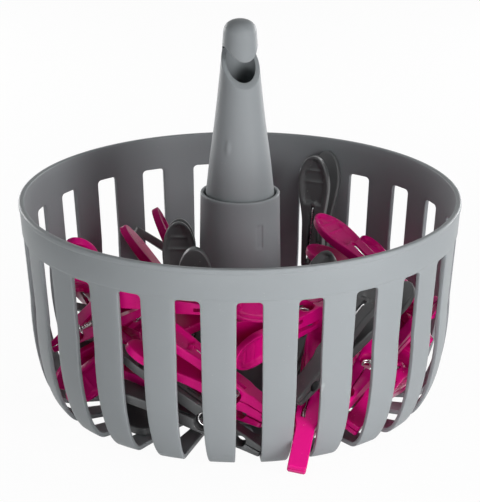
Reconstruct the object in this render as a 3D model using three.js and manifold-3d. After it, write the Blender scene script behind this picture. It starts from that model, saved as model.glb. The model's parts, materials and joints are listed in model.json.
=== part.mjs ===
// Peg basket: a round slotted tub moulded in one with its centre column, a hollow hook handle that
// plugs into the column, and a load of sprung clothes pegs, each of two levers and one wire spring.
// Millimetres, +Z up. The origin is the middle of the underside, and the hook opens towards -Y.
import * as THREE from 'three';
import { mergeVertices } from 'three/addons/utils/BufferGeometryUtils.js';
import { OBB } from 'three/addons/math/OBB.js';
import Module from 'manifold-3d';

const wasm = await Module();
wasm.setup();

// Tub
const TUB_HEIGHT = 101;
const RIM_RADIUS = 105;
const RIM_BEAD_HEIGHT = 2.8;
const RIM_BEAD_PROUD = 0.5;
const RIM_ROUND = 0.8;
const WAIST_HEIGHT = 54;
const WAIST_RADIUS = 100.7;
const FOOT_RADIUS = 83.4;
const TUB_WALL = 2.2;
const BASE_THICKNESS = 2.4;
const TUB_SEGMENTS = 46;
const CORNER_STEPS = 4;

// Slots, evenly round the wall, that run down it and on round the corner into the base
const SLOT_COUNT = 23;
const SLOT_WIDTH = 11.8;
const SLOT_DROP = 16.2;
const SLOT_CORNER = 2;
const SLOT_END_RADIUS = 74;
const SLOT_CURVE = 3;

// Centre column, with the socket that takes the handle
const COLUMN_HEIGHT = 103;
const COLUMN_TOP_RADIUS = 18.8;
const COLUMN_FOOT_RADIUS = 20.5;
const SOCKET_RADIUS = 17.3;
const SOCKET_DEPTH = 41;
const SOCKET_LEDGE = 2;
const COLUMN_SEGMENTS = 20;

// Keys that stop the handle turning, pressed into the column's wall from outside
const KEY_ANGLES = [11, 191];
const KEY_WIDTH = 3.4;
const KEY_BOTTOM = 80;
const KEY_TOP = 91;
const KEY_DEPTH = 0.9;
const KEY_DENT = 0.6;

// Hook handle: the outside's radius at heights from the collar up, and its hollow
const HANDLE_STATIONS = [
  [95, 17], [100, 16.5], [120, 14.4], [135, 12.35], [149.5, 10.7], [165, 9.15], [175, 8.32], [181, 7.8],
];
const HANDLE_TOP = 187;
const HANDLE_WALL = 2.2;
const HANDLE_CROWN = 3;
const HANDLE_SEGMENTS = 20;
const DOME_STEPS = 3;
const SPIGOT_CLEARANCE = 0.3;

// Hook mouth: a slanted cut under a tongue that hangs down in front, and a pocket with a level
// ceiling behind the tongue, where the line hangs
const MOUTH_LIP_HEIGHT = 156.9;
const MOUTH_LIP_SLOPE = 48.5;
const MOUTH_TONGUE_HEIGHT = 168;
const MOUTH_TONGUE_SLOPE = 50.5;
const MOUTH_CEILING = 174.5;
const MOUTH_FRONT = 9;
const MOUTH_DEPTH = 13.6;

// Peg lever, measured from the pivot
const GRIP_LENGTH = 52;
const JAW_LENGTH = 30;
const HEAD_WIDTH = 16;
const HEAD_LENGTH = 30;
const BODY_WIDTH = 11.2;
const JAW_WIDTH = 8.8;
const JAW_CORNER = 1.4;
const GRIP_SPREAD = 15;
const GRIP_THICKNESS = 3.4;
const PIVOT_THICKNESS = 5.9;
const JAW_THICKNESS = 2.4;
const JAW_GAP = 0.4;
const LINE_NOTCH_RADIUS = 2.6;
const LINE_NOTCH_DROP = 19;
const JAW_OPENING = 15;
const LEVER_CURVE = 2;

// Thumb dish and window in the lever's outer face
const DISH_RIM = 1.5;
const DISH_DEPTH = 1.4;
const LAND_WIDTH = 4.8;
const WINDOW_WIDTH = 1.8;
const WINDOW_LENGTH = 7;
const WINDOW_RISE = 7;
const WINDOW_OFFSET = 3.1;

// Peg spring: a coil round the pivot, with an arm up a channel in each lever
const WIRE = 1.2;
const COIL_RADIUS = 3.2;
const COIL_TURNS = 2.5;
const COIL_PITCH = 1.7;
const COIL_CLEARANCE = 0.5;
const CURL_STEPS = 8;
const WIRE_SIDES = 5;
const ARM_RISE = 25;
const ARM_DEPTH = 0.75;
const CHANNEL_CLEARANCE = 0.4;

// How pegs lie in the tub: the room that each keeps, and the moves by which it comes to rest
const CONTACT_GAP = 0.3;
const LYING_ROOM = 0.25;
const START_HEIGHT = 150;
const FALL_STEPS = [4, 2, 1, 0.5];
const MOVES_PER_STEP = 60;
const TIP_PER_STEP = 2;
const NUDGE = 8;
const NUDGE_STEP = 0.4;
const SEAT_REACH = 0.8;
const FAR_NUDGE = 16;
const OPENING_STEPS = 4;

const RAD = Math.PI / 180;

// Closed meshes and solids

function closedMesh(geometry) {
  const bare = geometry.index ? geometry.toNonIndexed() : geometry.clone();
  bare.deleteAttribute('normal');
  bare.deleteAttribute('uv');
  const merged = mergeVertices(bare, 1e-4);
  const index = merged.index.array;
  const kept = [];
  for (let i = 0; i < index.length; i += 3) {
    const [a, b, c] = [index[i], index[i + 1], index[i + 2]];
    if (a !== b && b !== c && c !== a) kept.push(a, b, c);
  }
  return { points: merged.attributes.position.array, faces: kept };
}

function signedVolume(points, faces) {
  const corner = (i) => new THREE.Vector3().fromArray(points, 3 * i);
  let sum = 0;
  for (let i = 0; i < faces.length; i += 3) {
    const [a, b, c] = [corner(faces[i]), corner(faces[i + 1]), corner(faces[i + 2])];
    sum += a.dot(b.cross(c)) / 6;
  }
  return sum;
}

function solidOf(geometry) {
  const { points, faces } = closedMesh(geometry);
  if (signedVolume(points, faces) < 0) faces.reverse();
  const vertProperties = new Float32Array(points);
  const triVerts = new Uint32Array(faces);
  return new wasm.Manifold(new wasm.Mesh({ numProp: 3, vertProperties, triVerts }));
}

function geometryOf(solid) {
  const mesh = solid.getMesh();
  const geometry = new THREE.BufferGeometry();
  geometry.setAttribute('position', new THREE.BufferAttribute(new Float32Array(mesh.vertProperties), 3));
  geometry.setIndex(Array.from(mesh.triVerts));
  return geometry;
}

function moved(geometry, matrix) {
  return geometry.clone().applyMatrix4(matrix);
}

function revolve(profile, segments) {
  const points = profile.map(([radius, height]) => new THREE.Vector2(radius, height));
  return solidOf(new THREE.LatheGeometry(points, segments).rotateX(Math.PI / 2));
}

function extruded(shape, depth, curveSegments) {
  return new THREE.ExtrudeGeometry(shape, { depth, steps: 1, bevelEnabled: false, curveSegments });
}

function shapeOf(points) {
  return new THREE.Shape(points.map(([x, y]) => new THREE.Vector2(x, y)));
}

// An extrusion whose outline is drawn in X and Z, running along Y from low to high
function alongY(shape, low, high, curveSegments = 6) {
  return extruded(shape, high - low, curveSegments).rotateX(Math.PI / 2).translate(0, high, 0);
}

// An extrusion whose outline is drawn in Y and Z, centred on X
function alongX(shape, width, curveSegments = 6) {
  const axes = new THREE.Matrix4().makeBasis(
    new THREE.Vector3(0, 1, 0),
    new THREE.Vector3(0, 0, 1),
    new THREE.Vector3(1, 0, 0),
  );
  return extruded(shape, width, curveSegments).translate(0, 0, -width / 2).applyMatrix4(axes);
}

// Tub, slots and column

function cornerRadius(height, wall, floor) {
  const reach = WAIST_RADIUS - FOOT_RADIUS - wall;
  const fall = Math.min(1, Math.max(0, (WAIST_HEIGHT - height) / (WAIST_HEIGHT - floor)));
  return FOOT_RADIUS + reach * Math.sqrt(1 - fall * fall);
}

function wallRadius(height) {
  const slope = (RIM_RADIUS - RIM_BEAD_PROUD - WAIST_RADIUS) / (TUB_HEIGHT - WAIST_HEIGHT);
  return WAIST_RADIUS + slope * (height - WAIST_HEIGHT);
}

// Radius of the tub's inside at a height
function insideRadius(height) {
  if (height > WAIST_HEIGHT) return wallRadius(height) - TUB_WALL;
  return cornerRadius(height, TUB_WALL, BASE_THICKNESS);
}

function cornerArc(wall, floor, steps) {
  const reach = WAIST_RADIUS - FOOT_RADIUS - wall;
  const arc = [];
  for (let i = 0; i <= steps; i += 1) {
    const angle = (i / steps) * 90 * RAD;
    const height = WAIST_HEIGHT - (WAIST_HEIGHT - floor) * Math.cos(angle);
    arc.push([FOOT_RADIUS + reach * Math.sin(angle), height]);
  }
  return arc;
}

function tubProfile() {
  const bead = TUB_HEIGHT - RIM_BEAD_HEIGHT;
  const inner = RIM_RADIUS - RIM_BEAD_PROUD - TUB_WALL;
  return [
    [0, 0],
    ...cornerArc(0, 0, CORNER_STEPS),
    [wallRadius(bead), bead],
    [RIM_RADIUS, bead + RIM_BEAD_PROUD],
    [RIM_RADIUS, TUB_HEIGHT - RIM_ROUND],
    [RIM_RADIUS - RIM_ROUND, TUB_HEIGHT],
    [inner + RIM_ROUND / 2, TUB_HEIGHT],
    [inner, TUB_HEIGHT - RIM_ROUND / 2],
    ...cornerArc(TUB_WALL, BASE_THICKNESS, CORNER_STEPS - 1).reverse(),
    [0, BASE_THICKNESS],
  ];
}

function columnRadius(height) {
  const share = height / COLUMN_HEIGHT;
  return COLUMN_FOOT_RADIUS + (COLUMN_TOP_RADIUS - COLUMN_FOOT_RADIUS) * share;
}

function columnProfile() {
  const sunk = BASE_THICKNESS / 2;
  const ledge = COLUMN_HEIGHT - SOCKET_DEPTH;
  const shaft = SOCKET_RADIUS - SOCKET_LEDGE;
  return [
    [shaft, sunk],
    [columnRadius(sunk), sunk],
    [COLUMN_TOP_RADIUS, COLUMN_HEIGHT],
    [SOCKET_RADIUS, COLUMN_HEIGHT],
    [SOCKET_RADIUS, ledge],
    [shaft, ledge],
    [shaft, sunk],
  ];
}

function slotCutter() {
  const half = SLOT_WIDTH / 2;
  const top = TUB_HEIGHT - SLOT_DROP;
  const below = -BASE_THICKNESS;
  const reach = RIM_RADIUS + TUB_WALL;
  const opening = new THREE.Shape();
  opening.moveTo(-half, below);
  opening.lineTo(half, below);
  opening.lineTo(half, top - SLOT_CORNER);
  opening.quadraticCurveTo(half, top, half - SLOT_CORNER, top);
  opening.lineTo(-half + SLOT_CORNER, top);
  opening.quadraticCurveTo(-half, top, -half, top - SLOT_CORNER);
  const plan = new THREE.Shape();
  plan.moveTo(-half, -reach);
  plan.lineTo(half, -reach);
  plan.lineTo(half, -SLOT_END_RADIUS - half);
  plan.absarc(0, -SLOT_END_RADIUS - half, half, 0, Math.PI, false);
  const down = extruded(plan, top - below, SLOT_CURVE).translate(0, 0, below);
  return solidOf(alongY(opening, -reach, 0, SLOT_CURVE - 1)).intersect(solidOf(down));
}

function turned(solid, degrees) {
  return solidOf(geometryOf(solid).rotateZ(degrees * RAD));
}

function keyBlock(inner, outer, bottom, top, width) {
  const block = new THREE.BoxGeometry(width, outer - inner, top - bottom);
  return solidOf(block.translate(0, -(inner + outer) / 2, (bottom + top) / 2));
}

function makeBasket() {
  let solid = revolve(tubProfile(), TUB_SEGMENTS);
  const cutter = slotCutter();
  for (let i = 0; i < SLOT_COUNT; i += 1) {
    solid = solid.subtract(turned(cutter, (360 * i) / SLOT_COUNT));
  }
  solid = solid.add(revolve(columnProfile(), COLUMN_SEGMENTS));
  const outside = columnRadius((KEY_BOTTOM + KEY_TOP) / 2);
  const wallMiddle = (outside + SOCKET_RADIUS) / 2;
  const key = keyBlock(SOCKET_RADIUS - KEY_DEPTH, wallMiddle, KEY_BOTTOM, KEY_TOP, KEY_WIDTH);
  const dent = keyBlock(outside - KEY_DENT, outside + KEY_DENT, KEY_BOTTOM, KEY_TOP, KEY_WIDTH);
  for (const angle of KEY_ANGLES) {
    solid = solid.add(turned(key, angle)).subtract(turned(dent, angle));
  }
  return solid;
}

// Handle

function handleProfile() {
  const spigot = SOCKET_RADIUS - SPIGOT_CLEARANCE;
  const foot = COLUMN_HEIGHT - SOCKET_DEPTH + CONTACT_GAP;
  const [shoulder, crown] = [HANDLE_STATIONS[0], HANDLE_STATIONS.at(-1)];
  const outside = [[spigot, foot], [Math.min(spigot, shoulder[1]), shoulder[0]]];
  for (const [height, radius] of HANDLE_STATIONS.slice(1)) outside.push([radius, height]);
  for (let i = 1; i <= DOME_STEPS; i += 1) {
    const angle = (i / DOME_STEPS) * 90 * RAD;
    const rise = (HANDLE_TOP - crown[0]) * Math.sin(angle);
    outside.push([crown[1] * Math.cos(angle), crown[0] + rise]);
  }
  const inside = [[0, HANDLE_TOP - HANDLE_CROWN]];
  for (const [height, radius] of HANDLE_STATIONS.slice(1).reverse()) {
    inside.push([radius - HANDLE_WALL, Math.min(height, HANDLE_TOP - HANDLE_CROWN)]);
  }
  inside.push([spigot - HANDLE_WALL, shoulder[0]], [spigot - HANDLE_WALL, foot]);
  return [...outside, ...inside, [spigot, foot]];
}

// Side view of the mouth, with the front at -Y
function mouthShape() {
  const lip = Math.tan(MOUTH_LIP_SLOPE * RAD);
  const tongue = Math.tan(MOUTH_TONGUE_SLOPE * RAD);
  const ahead = HANDLE_WALL;
  const low = MOUTH_LIP_HEIGHT + lip * MOUTH_DEPTH;
  const back = MOUTH_DEPTH - MOUTH_FRONT;
  const round = (MOUTH_CEILING - low) / 2;
  const root = (MOUTH_CEILING - MOUTH_TONGUE_HEIGHT) / tongue - MOUTH_FRONT;
  return shapeOf([
    [-MOUTH_FRONT - ahead, MOUTH_LIP_HEIGHT - lip * ahead],
    [back - round / 2, low - (lip * round) / 2],
    [back, low + round / 2],
    [back, MOUTH_CEILING - round / 2],
    [back - round / 2, MOUTH_CEILING],
    [root + round, MOUTH_CEILING],
    [root - round, MOUTH_CEILING - tongue * round],
    [-MOUTH_FRONT - ahead, MOUTH_TONGUE_HEIGHT - tongue * ahead],
  ]);
}

function makeHandle() {
  const width = 4 * MOUTH_FRONT;
  let solid = revolve(handleProfile(), HANDLE_SEGMENTS);
  solid = solid.subtract(solidOf(alongX(mouthShape(), width)));
  const foot = COLUMN_HEIGHT - SOCKET_DEPTH;
  const inner = SOCKET_RADIUS - KEY_DEPTH - SPIGOT_CLEARANCE;
  const keyway = keyBlock(
    inner - HANDLE_WALL,
    SOCKET_RADIUS + HANDLE_WALL,
    foot - HANDLE_WALL,
    KEY_TOP + SPIGOT_CLEARANCE,
    KEY_WIDTH + 2 * SPIGOT_CLEARANCE,
  );
  for (const angle of KEY_ANGLES) solid = solid.subtract(turned(keyway, angle));
  return solid;
}

// Peg lever, lying on the +Y side of the pivot with its grip up

const coilHalf = (COIL_PITCH * COIL_TURNS) / 2;
const seatRadius = COIL_RADIUS + WIRE / 2 + COIL_CLEARANCE;
const gripInner = JAW_GAP / 2 + COIL_CLEARANCE;
const faceSlope = (GRIP_SPREAD / 2 + GRIP_THICKNESS - PIVOT_THICKNESS) / GRIP_LENGTH;

function leverSection() {
  const half = JAW_GAP / 2;
  const section = new THREE.Shape();
  section.moveTo(half, -JAW_LENGTH);
  section.lineTo(half, -LINE_NOTCH_DROP - LINE_NOTCH_RADIUS);
  section.lineTo(half + LINE_NOTCH_RADIUS, -LINE_NOTCH_DROP - LINE_NOTCH_RADIUS / 2);
  section.lineTo(half + LINE_NOTCH_RADIUS, -LINE_NOTCH_DROP + LINE_NOTCH_RADIUS / 2);
  section.lineTo(half, -LINE_NOTCH_DROP + LINE_NOTCH_RADIUS);
  section.lineTo(half, -seatRadius);
  section.absarc(half, 0, seatRadius, -Math.PI / 2, Math.acos(gripInner / seatRadius), false);
  section.lineTo(GRIP_SPREAD / 2, GRIP_LENGTH);
  section.lineTo(GRIP_SPREAD / 2 + GRIP_THICKNESS, GRIP_LENGTH);
  section.lineTo(PIVOT_THICKNESS, 0);
  section.lineTo(half + JAW_THICKNESS, -JAW_LENGTH);
  return section;
}

function leverOutline() {
  const [head, body, jaw] = [HEAD_WIDTH / 2, BODY_WIDTH / 2, JAW_WIDTH / 2];
  const widest = GRIP_LENGTH - HEAD_LENGTH / 2;
  const neck = GRIP_LENGTH - HEAD_LENGTH - body;
  const middle = (widest + neck) / 2;
  const outline = new THREE.Shape();
  outline.moveTo(jaw - JAW_CORNER, -JAW_LENGTH);
  outline.lineTo(jaw, -JAW_LENGTH + JAW_CORNER);
  outline.lineTo(jaw, -2 * seatRadius);
  outline.lineTo(body, -seatRadius);
  outline.lineTo(body, neck);
  outline.bezierCurveTo(body, middle, head, middle, head, widest);
  outline.absellipse(0, widest, head, GRIP_LENGTH - widest, 0, Math.PI, false);
  outline.bezierCurveTo(-head, middle, -body, middle, -body, neck);
  outline.lineTo(-body, -seatRadius);
  outline.lineTo(-jaw, -2 * seatRadius);
  outline.lineTo(-jaw, -JAW_LENGTH + JAW_CORNER);
  outline.lineTo(-jaw + JAW_CORNER, -JAW_LENGTH);
  return outline;
}

// Turns a cutter drawn over the plane y = 0 onto the lever's sloping outer face
function ontoFace(geometry) {
  return geometry.rotateX(-Math.atan(faceSlope)).translate(0, PIVOT_THICKNESS, 0);
}

function dishCutter() {
  const half = HEAD_WIDTH / 2 - DISH_RIM;
  const length = HEAD_LENGTH - DISH_RIM;
  const middle = GRIP_LENGTH - HEAD_LENGTH / 2;
  const land = LAND_WIDTH / 2;
  const landTop = ARM_RISE + WIRE + land;
  const bottom = middle - length / 2;
  const oval = new THREE.Shape();
  oval.absellipse(0, middle, half, length / 2 - DISH_RIM / 2, 0, 2 * Math.PI, false);
  const tongue = shapeOf([
    [-land, bottom - land],
    [land, bottom - land],
    [land, landTop - land],
    [land / 2, landTop],
    [-land / 2, landTop],
    [-land, landTop - land],
  ]);
  const above = 2 * GRIP_THICKNESS;
  const bowl = solidOf(ontoFace(alongY(oval, -DISH_DEPTH, above, 2 * LEVER_CURVE)));
  return bowl.subtract(solidOf(ontoFace(alongY(tongue, -2 * DISH_DEPTH, 2 * above))));
}

// The wire's arm: where it leaves the coil, and where it ends up the lever
const armFoot = new THREE.Vector3(coilHalf, COIL_RADIUS, 0);
const armTop = new THREE.Vector3(0, PIVOT_THICKNESS + faceSlope * ARM_RISE - ARM_DEPTH, ARM_RISE);

function channelCutter() {
  const along = armTop.clone().sub(armFoot);
  const length = along.length() + seatRadius + WIRE;
  along.normalize();
  const across = new THREE.Vector3().crossVectors(new THREE.Vector3(0, 1, 0), along).normalize();
  const outward = new THREE.Vector3().crossVectors(along, across);
  const height = 2 * PIVOT_THICKNESS;
  const box = new THREE.BoxGeometry(WIRE + 2 * CHANNEL_CLEARANCE, height, length);
  box.translate(0, height / 2 - WIRE / 2 - CHANNEL_CLEARANCE, length / 2 - seatRadius);
  const place = new THREE.Matrix4().makeBasis(across, outward, along).setPosition(armFoot);
  return solidOf(moved(box, place));
}

function windowCutter() {
  const box = new THREE.BoxGeometry(WINDOW_WIDTH, 4 * PIVOT_THICKNESS, WINDOW_LENGTH);
  return solidOf(box.translate(-WINDOW_OFFSET, 0, WINDOW_RISE + WINDOW_LENGTH / 2));
}

function makeLever() {
  const reach = 2 * (GRIP_SPREAD + GRIP_THICKNESS);
  const outline = solidOf(alongY(leverOutline(), -reach, reach, LEVER_CURVE));
  const blank = solidOf(alongX(leverSection(), 2 * HEAD_WIDTH, LEVER_CURVE)).intersect(outline);
  return blank.subtract(dishCutter()).subtract(channelCutter()).subtract(windowCutter());
}

// Peg spring

function springPath() {
  const points = [armTop];
  const steps = COIL_TURNS * CURL_STEPS;
  for (let i = 0; i <= steps; i += 1) {
    const angle = (-2 * Math.PI * i) / CURL_STEPS;
    const x = coilHalf - (COIL_PITCH * i) / CURL_STEPS;
    points.push(new THREE.Vector3(x, COIL_RADIUS * Math.cos(angle), COIL_RADIUS * Math.sin(angle)));
  }
  points.push(new THREE.Vector3(-armTop.x, -armTop.y, armTop.z));
  return points;
}

// One tube along a path, closed at both ends
function wireTube(path, radius, sides) {
  const count = path.length;
  const positions = [];
  const faces = [];
  const tangents = path.map((point, i) => {
    const before = path[Math.max(0, i - 1)];
    const after = path[Math.min(count - 1, i + 1)];
    return after.clone().sub(before).normalize();
  });
  const normal = new THREE.Vector3(1, 0, 0).cross(tangents[0]).normalize();
  path.forEach((point, i) => {
    normal.addScaledVector(tangents[i], -normal.dot(tangents[i])).normalize();
    const side = new THREE.Vector3().crossVectors(tangents[i], normal);
    for (let j = 0; j < sides; j += 1) {
      const angle = (2 * Math.PI * j) / sides;
      const around = normal.clone().multiplyScalar(Math.cos(angle)).addScaledVector(side, Math.sin(angle));
      positions.push(...point.clone().addScaledVector(around, radius).toArray());
    }
  });
  for (let i = 0; i + 1 < count; i += 1) {
    for (let j = 0; j < sides; j += 1) {
      const [a, b] = [i * sides + j, i * sides + ((j + 1) % sides)];
      faces.push(a, b, b + sides, a, b + sides, a + sides);
    }
  }
  const last = (count - 1) * sides;
  for (let j = 1; j + 1 < sides; j += 1) {
    faces.push(0, j + 1, j, last, last + j, last + j + 1);
  }
  const geometry = new THREE.BufferGeometry();
  geometry.setAttribute('position', new THREE.Float32BufferAttribute(positions, 3));
  geometry.setIndex(faces);
  return geometry;
}

// Least clear distance between stretches of the wire that aren't neighbours along it
function leastGap(path) {
  let least = Infinity;
  path.forEach((point, i) => {
    for (let j = i + CURL_STEPS - 2; j < path.length; j += 1) {
      least = Math.min(least, point.distanceTo(path[j]) - WIRE);
    }
  });
  return least;
}

// Where pegs lie

// A peg with the room that its sprung lever sweeps as the jaws open
function openingRoom(form, lever) {
  let room = form;
  for (let i = 1; i <= OPENING_STEPS; i += 1) {
    const opening = new THREE.Matrix4().makeRotationX((-JAW_OPENING * RAD * i) / OPENING_STEPS);
    room = room.add(solidOf(moved(lever, opening)));
  }
  return room;
}

const halfTurn = new THREE.Matrix4().makeRotationZ(Math.PI);
const leverSolid = makeLever();
const leverGeometry = geometryOf(leverSolid);
const springGeometry = wireTube(springPath(), WIRE / 2, WIRE_SIDES);
const secondLever = moved(leverGeometry, halfTurn);
const pegForm = leverSolid.add(solidOf(secondLever));
const pegFormGeometry = geometryOf(pegForm);
const pegRoomGeometry = geometryOf(openingRoom(pegForm, secondLever));
const pegMiddle = (GRIP_LENGTH - JAW_LENGTH) / 2;
const tubReach = Math.min(WAIST_RADIUS, RIM_RADIUS);

function placedBox(box, matrix) {
  const rotation = new THREE.Matrix3().setFromMatrix4(matrix).multiply(box.rotation);
  return new OBB(box.center.clone().applyMatrix4(matrix), box.halfSize.clone(), rotation);
}

function roomBox(width, yLow, yHigh, zLow, zHigh, tilt) {
  const room = LYING_ROOM;
  const half = new THREE.Vector3(width / 2 + room, (yHigh - yLow) / 2 + room, (zHigh - zLow) / 2 + room);
  const middle = new THREE.Vector3(0, (yLow + yHigh) / 2, (zLow + zHigh) / 2);
  return placedBox(new OBB(middle, half), new THREE.Matrix4().makeRotationX(-tilt));
}

// Boxes round a peg, with the room that its jaws need to open
function pegBoxes() {
  const lean = Math.atan(faceSlope);
  const outer = PIVOT_THICKNESS * Math.cos(lean);
  const inner = outer - GRIP_THICKNESS - 2 * COIL_CLEARANCE;
  const neck = GRIP_LENGTH - HEAD_LENGTH - BODY_WIDTH / 2;
  const swing = Math.sin(JAW_OPENING * RAD);
  const cheek = JAW_LENGTH / 2;
  const thick = PIVOT_THICKNESS;
  const boxes = [
    roomBox(BODY_WIDTH, -thick - swing * cheek, thick, -cheek, 0, 0),
    roomBox(JAW_WIDTH, -JAW_THICKNESS - JAW_GAP - swing * JAW_LENGTH, thick, -JAW_LENGTH, -cheek, 0),
  ];
  for (const side of [1, -1]) {
    const [low, high] = side > 0 ? [inner, outer] : [-outer, -inner];
    boxes.push(roomBox(BODY_WIDTH, low, high, 0, neck, side * lean));
    boxes.push(roomBox(HEAD_WIDTH, low, high, neck, GRIP_LENGTH, side * lean));
  }
  return boxes;
}

// A pose from the way the grips point (round from -Y towards +X), how steeply they rise, and the
// turn about the peg's own length, which leaves the sprung lever on top where it is nought
function pegTurn(heading, rise, roll) {
  const [h, r] = [heading * RAD, rise * RAD];
  const along = new THREE.Vector3(Math.cos(r) * Math.sin(h), -Math.cos(r) * Math.cos(h), Math.sin(r));
  const level = new THREE.Vector3(-Math.cos(h), -Math.sin(h), 0);
  const over = new THREE.Vector3().crossVectors(along, level);
  const basis = new THREE.Matrix4().makeBasis(level, over, along);
  const turn = new THREE.Quaternion().setFromRotationMatrix(basis);
  return turn.multiply(new THREE.Quaternion().setFromAxisAngle(new THREE.Vector3(0, 0, 1), roll * RAD));
}

function poseMatrix(pose) {
  const matrix = new THREE.Matrix4().makeRotationFromQuaternion(pose.turn);
  const middle = new THREE.Vector3(0, 0, pegMiddle).applyMatrix4(matrix);
  return matrix.setPosition(pose.middle.clone().sub(middle));
}

function boxesAt(pose) {
  const matrix = poseMatrix(pose);
  return pegBoxes().map((box) => placedBox(box, matrix));
}

function boxCorners(box) {
  const [ax, ay, az] = [new THREE.Vector3(), new THREE.Vector3(), new THREE.Vector3()];
  box.rotation.extractBasis(ax, ay, az);
  const corners = [];
  for (const i of [-1, 1]) {
    for (const j of [-1, 1]) {
      for (const k of [-1, 1]) {
        const corner = box.center.clone().addScaledVector(ax, i * box.halfSize.x);
        corner.addScaledVector(ay, j * box.halfSize.y).addScaledVector(az, k * box.halfSize.z);
        corners.push(corner);
      }
    }
  }
  return corners;
}

function insideTub(box) {
  return boxCorners(box).every((corner) => {
    if (corner.z < BASE_THICKNESS + CONTACT_GAP) return false;
    const height = Math.min(corner.z, TUB_HEIGHT);
    return Math.hypot(corner.x, corner.y) < insideRadius(height) - CONTACT_GAP;
  });
}

function clearOfColumn(box) {
  if (Math.hypot(box.center.x, box.center.y) > columnRadius(0) + box.halfSize.length()) return true;
  const near = new THREE.Vector3();
  for (let height = 0; height < COLUMN_HEIGHT + FALL_STEPS[0]; height += FALL_STEPS[0]) {
    box.clampPoint(new THREE.Vector3(0, 0, height), near);
    if (Math.hypot(near.x, near.y) < columnRadius(height) + CONTACT_GAP) return false;
  }
  return true;
}

function apart(box, other) {
  const reach = box.halfSize.length() + other.halfSize.length();
  return box.center.distanceTo(other.center) > reach || !box.intersectsOBB(other);
}

function isFree(boxes, lying) {
  if (!boxes.every((box) => insideTub(box) && clearOfColumn(box))) return false;
  return lying.every((peg) => boxes.every((box) => peg.boxes.every((other) => apart(box, other))));
}

// Small moves that a peg can make as it sinks: straight down, or aside or over as well
function sinkingMoves(step) {
  const moves = [{ shift: new THREE.Vector3(0, 0, -step), tip: null }];
  for (const angle of [0, 45, 90, 135, 180, 225, 270, 315]) {
    const side = new THREE.Vector3(Math.cos(angle * RAD), Math.sin(angle * RAD), 0);
    const down = new THREE.Vector3(0, 0, -step / 2);
    moves.push({ shift: down, tip: new THREE.Quaternion().setFromAxisAngle(side, TIP_PER_STEP * step * RAD) });
    moves.push({ shift: down.clone().addScaledVector(side, step), tip: null });
  }
  return moves;
}

function afterMove(pose, move) {
  const turn = move.tip ? move.tip.clone().multiply(pose.turn) : pose.turn.clone();
  return { middle: pose.middle.clone().add(move.shift), turn };
}

// Lets a peg sink by small moves until none of them lets it go lower; one that leans doesn't tip
function settle(pose, lying, leans) {
  let rest = pose;
  for (const step of FALL_STEPS) {
    const moves = sinkingMoves(step).filter((move) => !(leans && move.tip));
    for (let i = 0; i < MOVES_PER_STEP; i += 1) {
      const next = moves.map((move) => afterMove(rest, move)).find((tried) => isFree(boxesAt(tried), lying));
      if (!next) break;
      rest = next;
    }
  }
  return rest;
}

function overlaps(solid, others) {
  return others.some((other) => !solid.intersect(other).isEmpty());
}

function shifted(pose, way, distance) {
  return { middle: pose.middle.clone().addScaledVector(way, distance), turn: pose.turn };
}

function placed(geometry, pose) {
  return solidOf(moved(geometry, poseMatrix(pose)));
}

// Slides the true shape one way until the room for its jaws all but meets another's
function slide(pose, way, rooms, farthest = NUDGE) {
  let rest = pose;
  for (let gone = 0; gone < farthest; gone += NUDGE_STEP) {
    if (overlaps(placed(pegRoomGeometry, shifted(rest, way, NUDGE_STEP + CONTACT_GAP)), rooms)) break;
    rest = shifted(rest, way, NUDGE_STEP);
  }
  return rest;
}

const DOWN = new THREE.Vector3(0, 0, -1);

function outward(pose) {
  return new THREE.Vector3(pose.middle.x, pose.middle.y, 0).normalize();
}

function nudges(pose, held) {
  const out = outward(pose);
  const side = new THREE.Vector3().crossVectors(out, DOWN);
  const back = side.clone().negate();
  return held ? [side, back] : [DOWN, out, DOWN, side, back, DOWN, out.clone().negate()];
}

// Lets a peg go, further out each time for as long as something under it keeps it from sinking
function letGo(pose, lying, leans) {
  let start = pose;
  let rest = settle(start, lying, leans);
  for (let gone = 0; gone < NUDGE && rest === start; gone += NUDGE_STEP) {
    start = shifted(start, outward(start), NUDGE_STEP);
    rest = settle(start, lying, leans);
  }
  return rest;
}

function isSeated(pose, forms) {
  const form = placed(pegFormGeometry, pose);
  return forms.some((other) => form.minGap(other, SEAT_REACH) < SEAT_REACH);
}

// Every way round and, for each, level, sloping down and sloping up, with the way down first
function farWays() {
  const ways = [DOWN];
  for (const slope of [-1, 0, 1]) {
    for (let angle = 0; angle < 360; angle += 45) {
      ways.push(new THREE.Vector3(Math.cos(angle * RAD), Math.sin(angle * RAD), slope).normalize());
    }
  }
  return ways;
}

// Nudges a peg one way after another until it lies against the tub or another peg; one that is
// still clear of them goes further, the first way that brings it there
function nestle(pose, held, forms, rooms) {
  let rest = pose;
  for (const way of nudges(pose, held)) {
    rest = slide(rest, way, rooms);
    if (overlaps(placed(pegFormGeometry, shifted(rest, way, NUDGE_STEP + CONTACT_GAP)), forms)) break;
  }
  if (isSeated(rest, forms)) return rest;
  for (const way of farWays()) {
    let further = slide(rest, way, rooms, FAR_NUDGE);
    for (const next of nudges(further, held)) {
      if (isSeated(further, forms)) return further;
      further = slide(further, next, rooms);
    }
  }
  return rest;
}

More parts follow.
